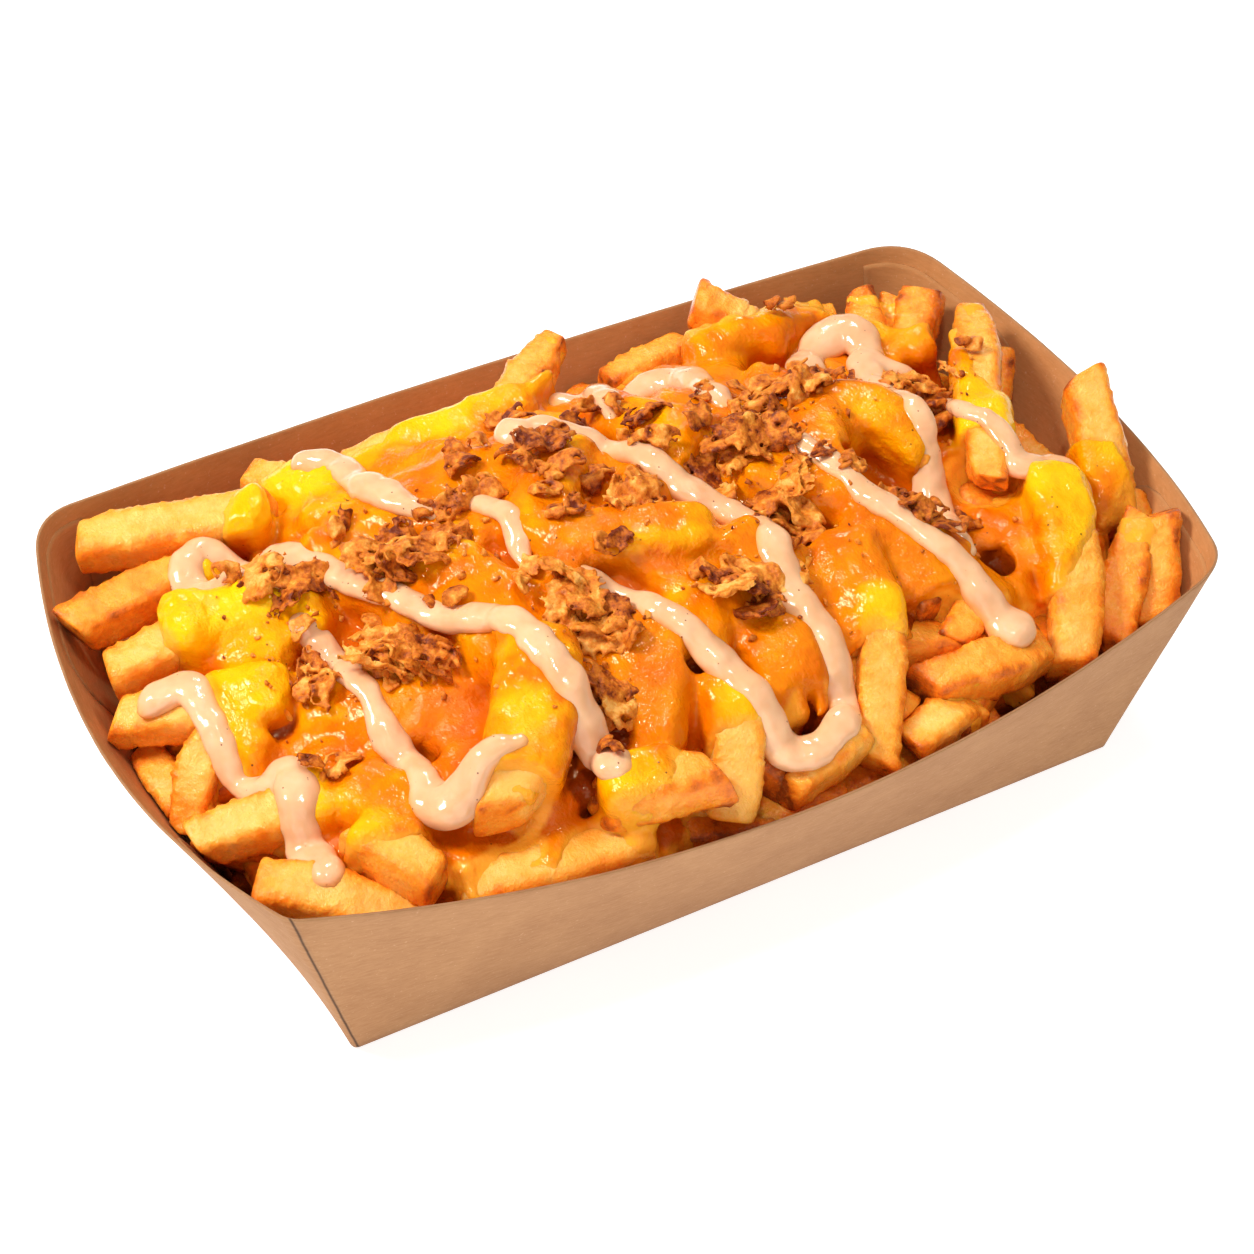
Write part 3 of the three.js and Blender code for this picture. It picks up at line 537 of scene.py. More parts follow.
class Sticks:
    """Several fries' centrelines and frames. A fry is a square stick, bowed as a parabola sideways and up."""

    def __init__(self, rows, seed):
        rows = np.asarray(rows, dtype=float)
        rng = np.random.default_rng(seed)
        self.count = len(rows)
        self.half = rows[:, 6] / 2
        self.bow, self.arch = rows[:, 7], rows[:, 8]
        clearance = WALL_CLEARANCE + 0.4 * self.half
        self.start, self.stop = (keep_inside(rows[:, k : k + 3], clearance) for k in (0, 3))
        self.length = np.linalg.norm(self.stop - self.start, axis=1)
        self.along = (self.stop - self.start) / self.length[:, None]
        sideways = np.stack([self.along[:, 1], -self.along[:, 0], np.zeros(self.count)], axis=-1)
        sideways /= np.linalg.norm(sideways, axis=1)[:, None]
        upward = np.cross(sideways, self.along)
        roll = -0.13 + rng.uniform(-0.12, 0.12, self.count)
        cos, sin = np.cos(roll)[:, None], np.sin(roll)[:, None]
        self.bend = self.bow[:, None] * sideways + self.arch[:, None] * upward
        self.sideways = cos * sideways + sin * upward
        self.upward = cos * upward - sin * sideways
        self.wide, self.high = rng.uniform(0.9, 1.06, (2, self.count))
        self.power = rng.uniform(3.4, 5.4, self.count)
        self.taper = rng.choice([0.04, 0.14, 0.34], (2, self.count), p=[0.35, 0.4, 0.25])
        self.skew = rng.uniform(-0.5, 0.5, (2, 2, self.count))
        self.toast_and_shade = rng.uniform(-0.14, 0.2, self.count)

    def distance(self, i, points):
        """Distance in mm from fry i's surface, negative inside: that of a box with rounded edges, after the
        bow is taken off."""
        offset = points - self.start[i]
        s = offset @ self.along[i]
        t = np.clip(s / self.length[i], 0, 1)
        offset = offset - (4 * t * (1 - t))[..., None] * self.bend[i]
        a, b = offset @ self.sideways[i], offset @ self.upward[i]
        edge = 0.45 * self.half[i]
        beyond = np.stack(
            [
                np.abs(s - self.length[i] / 2) - self.length[i] / 2 + edge,
                np.abs(a) - self.half[i] * self.wide[i] + edge,
                np.abs(b) - self.half[i] * self.high[i] + edge,
            ]
        )
        outside = np.sqrt(np.sum(np.maximum(beyond, 0) ** 2, axis=0))
        return outside + np.minimum(beyond.max(axis=0), 0) - edge

    def surface(self, body_rings, around):
        """Points and marks of every fry. Each ring is a rounded square whose radius is one over the p-th root
        of the sum of the p-th powers of cosine and sine. Rings shrink over each end's rounded edge and flat
        cut face, and each fry swells and narrows a little along its length."""
        cap_in = np.array([0.0, 0.0, 0.12, 0.45, 1.0])
        cap_scale = np.array([0.4, 0.7, 0.86, 0.945, 0.985])
        share = np.linspace(0, 1, body_rings)
        scale = np.r_[cap_scale, np.ones(body_rings), cap_scale[::-1]]
        edge = 1.7
        length = self.length[:, None]
        s = np.concatenate(
            [
                np.tile(cap_in, (self.count, 1)),
                edge + share * (length - 2 * edge),
                length - np.tile(cap_in[::-1], (self.count, 1)),
            ],
            axis=1,
        )
        from_end = np.minimum(s, length - s)
        is_last = s > length / 2
        taper = np.where(is_last, self.taper[1][:, None], self.taper[0][:, None])
        ring_scale = scale * (1 - taper * np.exp(-((from_end / 8) ** 2)))
        own_line = np.stack([s, np.zeros_like(s), 61.0 * np.arange(self.count)[:, None] + np.zeros_like(s)], axis=-1)
        swell = [1 + 0.12 * smooth_noise(own_line + (0, shift, 0), 15.0, 26) for shift in (0.0, 47.0)]
        angle = np.arange(around) / around * 2 * math.pi + math.pi / around
        power = self.power[:, None]
        radius = (np.abs(np.cos(angle)) ** power + np.abs(np.sin(angle)) ** power) ** (-1 / power)
        corner = np.clip((radius - 1.05) / (radius.max(axis=1, keepdims=True) - 1.05), 0, 1)[:, None]
        u = (np.cos(angle) * radius)[:, None]
        v = (np.sin(angle) * radius)[:, None]
        a = (self.half * self.wide)[:, None, None] * (ring_scale * swell[0])[:, :, None] * u
        b = (self.half * self.high)[:, None, None] * (ring_scale * swell[1])[:, :, None] * v
        skew = np.where(is_last[None], self.skew[1][:, :, None], self.skew[0][:, :, None])
        lean = np.exp(-((from_end / 5) ** 2))[:, :, None]
        s_all = s[:, :, None] + lean * (skew[0][:, :, None] * a + skew[1][:, :, None] * b)
        t = np.clip(s_all / length[:, :, None], 0, 1)
        bend = (4 * t * (1 - t))[..., None] * self.bend[:, None, None, :]
        points = (
            self.start[:, None, None]
            + s_all[..., None] * self.along[:, None, None]
            + a[..., None] * self.sideways[:, None, None]
            + b[..., None] * self.upward[:, None, None]
            + bend
        )
        outward = a[..., None] * self.sideways[:, None, None] + b[..., None] * self.upward[:, None, None]
        outward /= np.linalg.norm(outward, axis=-1)[..., None]
        own = points + np.arange(self.count)[:, None, None, None] * (37.0, 0, 0)
        dents = smooth_noise(own, 8.0, 21)
        blisters = smooth_noise(own, 2.6, 22)
        pimples = np.maximum(smooth_noise(own, 1.5, 23), 0.1) - 0.1
        rise = 0.6 * dents + 0.28 * blisters + (0.3 + 0.6 * corner) * pimples - 0.15
        points = points + outward * (rise * np.minimum(1, from_end / 2 + 0.3)[:, :, None])[..., None]
        near_end = np.exp(-from_end / 1.8)[:, :, None]
        patches = smooth_noise(own, 11.0, 24)
        fine = smooth_noise(own, 3.1, 25)
        brown = (
            0.16
            + self.toast_and_shade[:, None, None]
            + 0.34 * corner**1.5 * (0.8 + 0.9 * fine)
            + (0.34 + 0.4 * fine) * near_end
            + 0.3 * np.maximum(patches, -0.5)
            + 0.2 * np.maximum(blisters, 0)
            # Painted shade: browner on the sides and undersides and lower down in the heap, paler on top.
            + 0.09 * (0.5 - outward[..., 2])
            + 0.2 * ramp(heap_top(points[..., 0], points[..., 1]) - points[..., 2], 0.0, 9.0)
        )
        middles = np.stack([points[:, 0].mean(axis=1), points[:, -1].mean(axis=1)], axis=1)
        middle_brown = np.stack([brown[:, 0].mean(axis=1), brown[:, -1].mean(axis=1)], axis=1)
        points = np.concatenate([points.reshape(self.count, -1, 3), middles], axis=1)
        brown = np.concatenate([brown.reshape(self.count, -1), middle_brown], axis=1)
        points = keep_inside(points, WALL_CLEARANCE - 0.35)
        faces = tube_faces(len(scale), around, self.count)
        return points.reshape(-1, 3), faces, np.clip(brown, 0, 1).reshape(-1)


def fry_finish(name):
    """Fried potato: pale gold flesh under a thin oily skin, amber where it browned, with fine blisters."""
    fry = Finish(name)
    grain = fry.noise(1.6, 4.0, 0.65)
    mottle = fry.noise(5.0, 4.0, 0.6)
    brown = fry.sum(fry.mark("brown"), fry.rescale(mottle, 0.3, 0.7, -0.16, 0.16), fry.rescale(grain, 0.3, 0.7, -0.12, 0.12))
    ramp_node = fry.add("ValToRGB", {"Fac": brown})
    stops = [
        (0.0, (0.96, 0.46, 0.09, 1)),
        (0.28, (0.95, 0.355, 0.033, 1)),
        (0.55, (0.89, 0.235, 0.010, 1)),
        (0.78, (0.66, 0.14, 0.008, 1)),
        (1.0, (0.30, 0.055, 0.006, 1)),
    ]
    ramp_node.color_ramp.elements[0].position = stops[0][0]
    ramp_node.color_ramp.elements[0].color = stops[0][1]
    ramp_node.color_ramp.elements[1].position = stops[-1][0]
    ramp_node.color_ramp.elements[1].color = stops[-1][1]
    for position, colour in stops[1:-1]:
        ramp_node.color_ramp.elements.new(position).color = colour
    skin = fry.noise(0.8, 3.0, 0.6)
    relief = fry.bump(skin, 0.55, 0.28, fry.bump(grain, 0.5, 0.5))
    return fry.done(
        Base_Color=ramp_node.outputs["Color"],
        Roughness=fry.rescale(mottle, 0.35, 0.65, 0.2, 0.38),
        Normal=relief,
        Subsurface_Weight=0.6,
        Subsurface_Radius=(1.0, 0.65, 0.3),
        Subsurface_Scale=0.0018,
        Specular_IOR_Level=0.38,
        Specular_Tint=(1.0, 0.88, 0.65, 1),
    )


fried_potato = fry_finish("fried_potato")
shown = Sticks(BARE_FRIES, 11)
# Painted shade: the fries from the middle rightwards are browner, and those along the front a little paler.
shown.toast_and_shade = np.clip(shown.toast_and_shade, -0.1, 0.12) + 0.06 * (shown.start[:, 0] > -10) + 0.04 * (shown.start[:, 0] > 40)
shown.toast_and_shade -= 0.05 * (shown.start[:, 1] < -50)
points, faces, brown = shown.surface(58, 40)
put_mesh("fries", points, faces, fried_potato, "fried_potato", ["fries"], brown=brown)

coated = Sticks(COATED_FRIES, 14)
coated.toast_and_shade -= 0.14
points, faces, brown = coated.surface(34, 28)
put_mesh("fries_coated", points, faces, fried_potato, "fried_potato", ["fries"], brown=brown)

near_top = clear_of_hollows(buried_fries(70, 9.5, 5))
under = Sticks(np.concatenate([filler_fries(), near_top, buried_fries(44, 13.5, 6), wall_fries(36, 10.5, 8)]), 12)
points, faces, brown = under.surface(20, 20)
# The fries under the others are 0.2 browner, as painted shade.
put_mesh("fries_under", points, faces, fried_potato, "fried_potato", ["fries"], brown=brown + 0.2)

# The imported mass below them, painted dark brown as painted shade: it only shows as the dark amber depth between the
# fries.
core_rows = []
wall_line = tray_ring(0.5, WALL_CLEARANCE + 1)
for scale in (1.06, 0.9, 0.72, 0.5, 0.28, 0.1):
    core_row = wall_line * (scale, scale, 1)
    core_row[:, 2] = heap_top(core_row[:, 0], core_row[:, 1]) - 15
    core_rows.append(keep_inside(core_row, WALL_CLEARANCE + 0.5))
core_foot = tray_ring(0.0, WALL_CLEARANCE + 1) + (0, 0, 1.2)
core_rows = [core_foot * (s, s, 1) for s in (0.3, 0.7, 1.0)] + core_rows
core_points = np.concatenate(core_rows + [[[0, 0, 1.2]], [[0, 0, heap_top(0, 0) - 15]]])
put_mesh(
    "fries_core",
    core_points,
    tube_faces(len(core_rows), len(core_foot)),
    fried_potato,
    "fried_potato",
    ["fries"],
    brown=np.full(len(core_points), 0.88),
)


# Cheese sauce
# Melted orange cheese sauce ladled over the heap. It coats the fries under it, sinks between them, leaves
# hollows where nothing holds it, and thins to yellow over their tops. It sets as one glossy skin.
SAUCE_COAT = 1.2
SAUCE_STEP = 0.8
SAUCE_DEPTH = 9.0
SAUCE_SHEET = 1.7
SAUCE_BLEND = 2.0

# The sauce's edge in plan, in mm, anticlockwise seen from below.
SAUCE_EDGE = [
    (-91, 13), (-92, 0), (-91, -16), (-87, -23), (-88, -36), (-83, -45), (-70, -50), (-66, -57), (-50, -62),
    (-30, -64), (-21, -63), (-20, -57), (-15, -56), (-5, -56), (-1, -56), (6, -52), (18, -53), (26, -47), (31, -50),
    (39, -42), (43, -49), (51, -50), (62, -46), (64, -52), (78, -46), (93, -33), (104, -29), (105, -12), (98, -7), (92, 2), (86, 2),
    (93, 24), (91, 33), (85, 37), (78, 41), (73, 47), (66, 51), (54, 50), (45, 50), (30, 49), (18, 52), (6, 51),
    (-12, 50), (-30, 49), (-41, 49), (-46, 54), (-60, 47), (-71, 40), (-84, 31), (-91, 25), (-93, 19),
]

# More coated fries that show only as ridges and lumps in the sauce, in the fries' columns.
SUNKEN_FRIES = [
    (-16, 48, 40, -22, 18, 54, 11, 0, 1),
    (-88.5, 18.5, 46, -82, 15, 48, 12, 0, 0),
    (-91, -12, 36, -84, -6, 42, 13, 0, 0),
    (-26, -7, 56, -25, -21, 54, 11, 0, 1),
    (-37, -4, 54, -38, -26, 52, 12, 0, 1),
    (-10, -25, 54, -25, -47, 44, 13, 0, 1),
    (-84, 18, 36, -71, 3, 45, 13, 0, 1),
    (-75, -28, 41, -66, -43, 41, 12, 0, 1),
    (-74, -38, 38, -70, -50, 36, 10, 0, 1),
    (-34, -23, 51, -30, -36, 48, 11, 0, 1),
    (9, -34, 51, 7, -52, 41, 14, 0, 1),
    (47, 13, 54, 34, -16, 56, 10, 0, 1),
    (-74, -7, 40, -59, -18, 45, 12, 0, 1),
    (-51, -9, 47, -52, -37, 42, 11, 0, 1),
    (2, -21, 54, -12, -41, 47, 12, 0, 1),
    (32, -22, 54, 28, -47, 45, 11, 0, 1),
    (-53, 15, 48, -44, -5, 52, 11, 0, 1),
    (12, 36, 47, 19, 9, 55, 11, 0, 1),
    (29, 24, 50, 26, -3, 54, 11, 0, 1),
    (1, 32, 50, -20, 9, 55, 11, 0, 1),
    (45, -24, 50, 41, -39, 46, 11, 0, 1),
    (66, -24, 42, 59, -43, 39, 10, 0, 1),
    (75, 31, 39, 65, 5, 46, 10, 0, 1),
    (-79, -18, 37, -84, -40, 32, 11, 0, 1),
]

# Places where the sauce left a fry bare: x, y, z and size, in mm.
BARE_SPOTS = [
    (71, -15, 53, 8), (-14, -61, 49, 8), (26, -51, 43, 10), (66, -55, 40, 10), (-55, -54, 51, 9.5), (102, -7, 54, 11),
    (-42, -62, 44, 6), (-61, -58, 44, 5), (-71, -54, 45, 7), (1, -63, 40, 8), (43, -47, 49, 7),
]


# Places where the sauce is stretched thin and yellow: x, y and size, in mm.
THIN_SPOTS = [
    (-53, 42, 9), (-75, 18, 10), (-20, 45, 10), (-46, -43, 8), (-8, -48, 7), (77, -14, 9), (29, -42, 6),
    (-6, -20, 8), (-36, -54, 6), (99, -21, 5), (-77, 31, 6), (50, -8, 6),
]


def edge_distance(x, y, edge):
    """Distance in mm inside a closed edge in plan, negative outside: the nearest of its straight pieces, with
    the sign from how often a line to the right crosses it."""
    nearest = np.full(x.shape, np.inf)
    crossings = np.zeros(x.shape, dtype=int)
    for (ax, ay), (bx, by) in zip(edge, edge[1:] + edge[:1]):
        dx, dy = bx - ax, by - ay
        t = np.clip(((x - ax) * dx + (y - ay) * dy) / (dx * dx + dy * dy), 0, 1)
        nearest = np.minimum(nearest, np.hypot(x - ax - t * dx, y - ay - t * dy))
        if ay != by:
            crossings += ((ay > y) != (by > y)) & (x < (bx - ax) * (y - ay) / (by - ay) + ax)
    return np.where(crossings % 2 == 1, nearest, -nearest)


def soft_least(a, b, width):
    """The lesser of two distances, rounded where they are within width of each other."""
    near = np.maximum(width - np.abs(a - b), 0) / width
    return np.minimum(a, b) - near * near * width / 4


class Lattice:
    """A box of evenly spaced points that distances are worked out on, with the nodes' places in mm."""

    def __init__(self, low, high, step):
        self.low, self.step = np.array(low, dtype=float), step
        self.shape = tuple(int(n) for n in np.ceil((np.array(high) - self.low) / step) + 1)
        self.lines = [self.low[k] + step * np.arange(self.shape[k]) for k in range(3)]

    def filled(self, value):
        return np.full(self.shape, value, dtype=float)

    def window(self, low, high):
        """The slices of the lattice over a smaller box, and the places of their points."""
        first = np.clip(np.floor((low - self.low) / self.step).astype(int), 0, self.shape)
        last = np.clip(np.ceil((high - self.low) / self.step).astype(int) + 1, 0, self.shape)
        cut = tuple(slice(a, b) for a, b in zip(first, last))
        return cut, np.stack(np.meshgrid(*(line[c] for line, c in zip(self.lines, cut)), indexing="ij"), axis=-1)

    def skin(self, field):
        """The surface where the field is 0, as points in mm and quads: each cell that it passes through gets
        one point, the mean of the crossings on the cell's edges, and each crossed edge joins its four cells."""
        inside = field < 0
        corners = list(itertools.product((0, 1), repeat=3))
        sizes = [n - 1 for n in self.shape]
        count = np.zeros(sizes, dtype=np.int8)
        for i, j, k in corners:
            count += inside[i : i + sizes[0], j : j + sizes[1], k : k + sizes[2]]
        crossed = (count > 0) & (count < 8)
        cells = np.argwhere(crossed)
        total = np.zeros((len(cells), 3))
        hits = np.zeros(len(cells))
        for a, b in itertools.combinations(corners, 2):
            if sum(abs(p - q) for p, q in zip(a, b)) != 1:
                continue
            first, second = (field[tuple((cells + corner).T)] for corner in (a, b))
            cut = (first < 0) != (second < 0)
            share = np.where(cut, first / np.where(cut, first - second, 1), 0)
            place = np.array(a) + share[:, None] * (np.array(b) - np.array(a))
            total += np.where(cut[:, None], place, 0)
            hits += cut
        points = self.low + (cells + total / hits[:, None]) * self.step
        number = np.full(sizes, -1)
        number[crossed] = np.arange(len(cells))
        quads = []
        for axis in range(3):
            one, two = (axis + 1) % 3, (axis + 2) % 3
            ahead = np.roll(inside, -1, axis)
            changes = inside != ahead
            for k in range(3):
                edge = [slice(None)] * 3
                edge[k] = -1 if k == axis else 0
                changes[tuple(edge)] = False
                if k != axis:
                    edge[k] = -1
                    changes[tuple(edge)] = False
            at = np.argwhere(changes)
            steps = np.zeros((4, 3), dtype=int)
            steps[1, one] = steps[2, one] = steps[2, two] = steps[3, two] = -1
            ring = np.stack([number[tuple((at + step).T)] for step in steps], axis=-1)
            outward = inside[tuple(at.T)]
            quads.append(np.where(outward[:, None], ring, ring[:, ::-1]))
        return points, np.concatenate(quads)


def evened(points, quads, rounds, share=0.5):
    """The points moved a share of the way to the mean of their neighbours, several times."""
    a = np.concatenate([quads[:, k] for k in range(4)])
    b = np.concatenate([quads[:, (k + 1) % 4] for k in range(4)])
    a, b = np.concatenate([a, b]), np.concatenate([b, a])
    degree = np.maximum(np.bincount(a, minlength=len(points)), 1)
    for _ in range(rounds):
        mean = np.stack([np.bincount(a, points[b, k], len(points)) for k in range(3)], axis=-1) / degree[:, None]
        points = points + (mean - points) * share
    return points


def face_normals(points, quads):
    """The direction that each point's faces look in on average."""
    cross = np.cross(points[quads[:, 2]] - points[quads[:, 0]], points[quads[:, 3]] - points[quads[:, 1]])
    normals = np.stack(
        [np.bincount(quads.reshape(-1), np.repeat(cross[:, k], 4), len(points)) for k in range(3)], axis=-1
    )
    return normals / np.maximum(np.linalg.norm(normals, axis=1), 1e-9)[:, None]


def largest_part(points, quads):
    """Only the largest connected part of a surface: numbers spread along faces until none changes."""
    label = np.arange(len(points))
    while True:
        least = label[quads].min(axis=1)
        following = label.copy()
        np.minimum.at(following, quads.reshape(-1), np.repeat(least, 4))
        following = following[following]
        if np.array_equal(following, label):
            break
        label = following
    kept = label == np.bincount(label).argmax()
    number = np.cumsum(kept) - 1
    return points[kept], number[quads[kept[quads[:, 0]]]]


sauce_box = Lattice((-98, -66, 22), (100, 60, 69), SAUCE_STEP)
plan_x, plan_y = np.meshgrid(sauce_box.lines[0], sauce_box.lines[1], indexing="ij")
plan = np.stack([plan_x, plan_y, np.zeros_like(plan_x)], axis=-1)
cover = edge_distance(plan_x, plan_y, SAUCE_EDGE) + 2.2 * smooth_noise(plan, 9.0, 41)
heights = sauce_box.lines[2][None, None]

# Distance to the nearest fry, and to the coat on the fries that the sauce reaches.
sunken = Sticks(np.concatenate([SUNKEN_FRIES, clear_of_hollows(buried_fries(36, 6.0, 9))]), 13)
to_fries = sauce_box.filled(20.0)
to_coats = sauce_box.filled(20.0)
for sticks in (shown, coated, under, sunken):
    if sticks is sunken:
        to_real_coats = to_coats.copy()
    for i in range(sticks.count):
        ends = np.stack([sticks.start[i], sticks.stop[i]])
        reach = sticks.half[i] + 7 + np.abs(sticks.bend[i])
        cut, places = sauce_box.window(ends.min(axis=0) - reach, ends.max(axis=0) + reach)
        gap = sticks.distance(i, places)
        to_fries[cut] = np.minimum(to_fries[cut], gap)
        reached = cover[cut[:2]][:, :, None] - (2.5 if sticks is shown else 0)
        coat = np.where(sticks is sunken, SAUCE_COAT + 0.3, SAUCE_COAT) * ramp(reached, -1.0, 4.5) - 1.3 * ramp(-reached, -2.5, 1.5)
        to_coats[cut] = soft_least(to_coats[cut], gap - coat, SAUCE_BLEND)

# The sheet between the fries, sunk unevenly below the heap's top and broken by hollows.
sheet_top = heap_top(plan_x, plan_y) - SAUCE_DEPTH + 1.6 * smooth_noise(plan, 17.0, 42) + 0.6 * smooth_noise(plan, 6.0, 43)
for x, y, size in HOLLOWS:
    fall = np.exp(-(((plan_x - x) ** 2 + (plan_y - y) ** 2) / size**2))
    sheet_top -= 9 * fall
sheet = np.abs(heights - sheet_top[:, :, None] + SAUCE_SHEET) - SAUCE_SHEET
sheet = np.maximum(sheet * 0.85, (0.5 - cover)[:, :, None] * 0.8)
sauce = soft_least(to_coats, sheet, SAUCE_BLEND + 1)
for x, y, size in HOLLOWS:
    middle, radii = np.array((x, y, float(heap_top(x, y)) - 2.5)), np.array((0.8 * size, 0.8 * size, 9.0))
    cut, places = sauce_box.window(middle - radii - 2, middle + radii + 2)
    warped = places + 0.35 * size * np.stack([smooth_noise(places, 4.0, 48 + k) for k in range(3)], axis=-1)
    pit = (1 - np.linalg.norm((warped - middle) / radii, axis=-1)) * 0.8 * size
    sauce[cut] = -soft_least(-sauce[cut], -np.minimum(pit, to_real_coats[cut]), 1.6)
for x, y, z, size in BARE_SPOTS:
    spot, low = np.array((x, y, z)), np.array((size,) * 3)
    cut, places = sauce_box.window(spot - low - 3, spot + low + 3)
    away = np.linalg.norm(places - spot, axis=-1) - size
    fried = np.minimum(to_fries[cut], 3)
    sauce[cut] = np.where(away < 3, np.maximum(sauce[cut], sauce[cut] + 4.0 * ramp(-away, -1.5, 1.5) * ramp(-np.abs(fried), -4, -2)), sauce[cut])

# Nothing of the sauce lies deeper than its sheet, or outside the tray's room.
sauce = np.maximum(sauce, (sheet_top - 2 * SAUCE_SHEET - 3.5)[:, :, None] - heights)
limit = keep_inside(np.stack(np.meshgrid(*sauce_box.lines, indexing="ij"), axis=-1), WALL_CLEARANCE)
limit = np.abs(limit - np.stack(np.meshgrid(*sauce_box.lines, indexing="ij"), axis=-1)).max(axis=-1)
sauce = np.where(limit > 0, np.maximum(sauce, limit), sauce)
sauce_points, sauce_quads = largest_part(*sauce_box.skin(sauce))
sauce_points = evened(sauce_points, sauce_quads, 3)


def read_field(box, field, points):
    """The field at points, blended from the eight lattice points round each."""
    cells = (points - box.low) / box.step
    base = np.clip(np.floor(cells).astype(int), 0, np.array(box.shape) - 2)
    part = np.clip(cells - base, 0, 1)
    total = np.zeros(len(points))
    for corner in itertools.product((0, 1), repeat=3):
        weight = np.prod(np.where(corner, part, 1 - part), axis=-1)
        total += weight * field[tuple((base + corner).T)]
    return total


def top_surface(box, field):
    """Height of the highest crossing of a field's surface over each point in plan, or NaN where it has none."""
    inside = field < 0
    last = box.shape[2] - 1 - np.argmax(inside[:, :, ::-1], axis=2)
    i, j = np.indices(last.shape)
    above = np.minimum(last + 1, box.shape[2] - 1)
    low, high = field[i, j, last], field[i, j, above]
    share = np.where(high > low, -low / np.where(high > low, high - low, 1), 0)
    return np.where(inside.any(axis=2), box.lines[2][last] + np.clip(share, 0, 1) * box.step, np.nan)


def blurred(grid, spread):
    """A plan of numbers blurred by a bell curve of that spread in lattice steps, first along x, then y."""
    reach = np.arange(-int(3 * spread), int(3 * spread) + 1)
    bell = np.exp(-((reach / spread) ** 2) / 2)
    bell /= bell.sum()
    for axis in (0, 1):
        padded = np.pad(grid, [(len(reach) // 2,) * 2 if k == axis else (0, 0) for k in (0, 1)], mode="edge")
        size = grid.shape[axis]
        grid = sum(w * np.take(padded, np.arange(k, k + size), axis=axis) for k, w in enumerate(bell))
    return grid


def height_at(grid, x, y):
    """A plan's number at places between its points, blended from the four round each."""
    cells = [(np.asarray(v, dtype=float) - sauce_box.low[k]) / SAUCE_STEP for k, v in enumerate((x, y))]
    base = [np.clip(np.floor(c).astype(int), 0, sauce_box.shape[k] - 2) for k, c in enumerate(cells)]
    u, v = (np.clip(c - b, 0, 1) for c, b in zip(cells, base))
    i, j = base
    return (
        grid[i, j] * (1 - u) * (1 - v) + grid[i + 1, j] * u * (1 - v) + grid[i, j + 1] * (1 - u) * v + grid[i + 1, j + 1] * u * v
    )


over_fries = read_field(sauce_box, to_fries, sauce_points)
facing = face_normals(sauce_points, sauce_quads)
crinkled = ramp(smooth_noise(sauce_points, 16.0, 47), -0.1, 0.35)
wrinkles = smooth_noise(sauce_points, 4.2, 44) * 0.4 + smooth_noise(sauce_points, 2.2, 45) * (0.14 + 0.34 * crinkled)
sauce_points = sauce_points + facing * (wrinkles * (facing[:, 2] > -0.2))[:, None]

food_top = top_surface(sauce_box, np.minimum(sauce, to_fries))
food_top = np.where(np.isnan(food_top), heap_top(plan_x, plan_y) - 14, food_top)
smooth_top = blurred(food_top, 2.6)
even_top = blurred(food_top, 9.0)

# The sauce is thinner and yellower over crests, towards the left and back left, and on the right.
rise = sauce_points[:, 2] - height_at(even_top, sauce_points[:, 0], sauce_points[:, 1])
left_share = 1 - ramp(sauce_points[:, 0] - 0.4 * sauce_points[:, 1], -78, -40)
right_share = ramp(sauce_points[:, 0], 52, 84) * (1 - 0.8 * ramp(sauce_points[:, 0], 88, 96))
right_share *= 1 - 0.8 * ramp(sauce_points[:, 1], -7, 7)
front_share = ramp(-sauce_points[:, 1], 22, 45)
yellowing = np.maximum(0.4 * left_share, 0.6 * right_share) - 0.15 * front_share
yellowing += 0.3 * smooth_noise(sauce_points, 22.0, 46)
for x, y, size in THIN_SPOTS:
    yellowing += 0.6 * np.exp(-(((sauce_points[:, 0] - x) ** 2 + (sauce_points[:, 1] - y) ** 2) / size**2))
thin = 0.45 * (1 - ramp(over_fries, 0.8, 3.0)) + 0.4 * ramp(rise, -0.5, 3.5) + yellowing - 0.2
from_hollow = np.full(len(sauce_points), 9.0)
for x, y, size in HOLLOWS:
    from_hollow = np.minimum(from_hollow, np.hypot(sauce_points[:, 0] - x, sauce_points[:, 1] - y) / size)


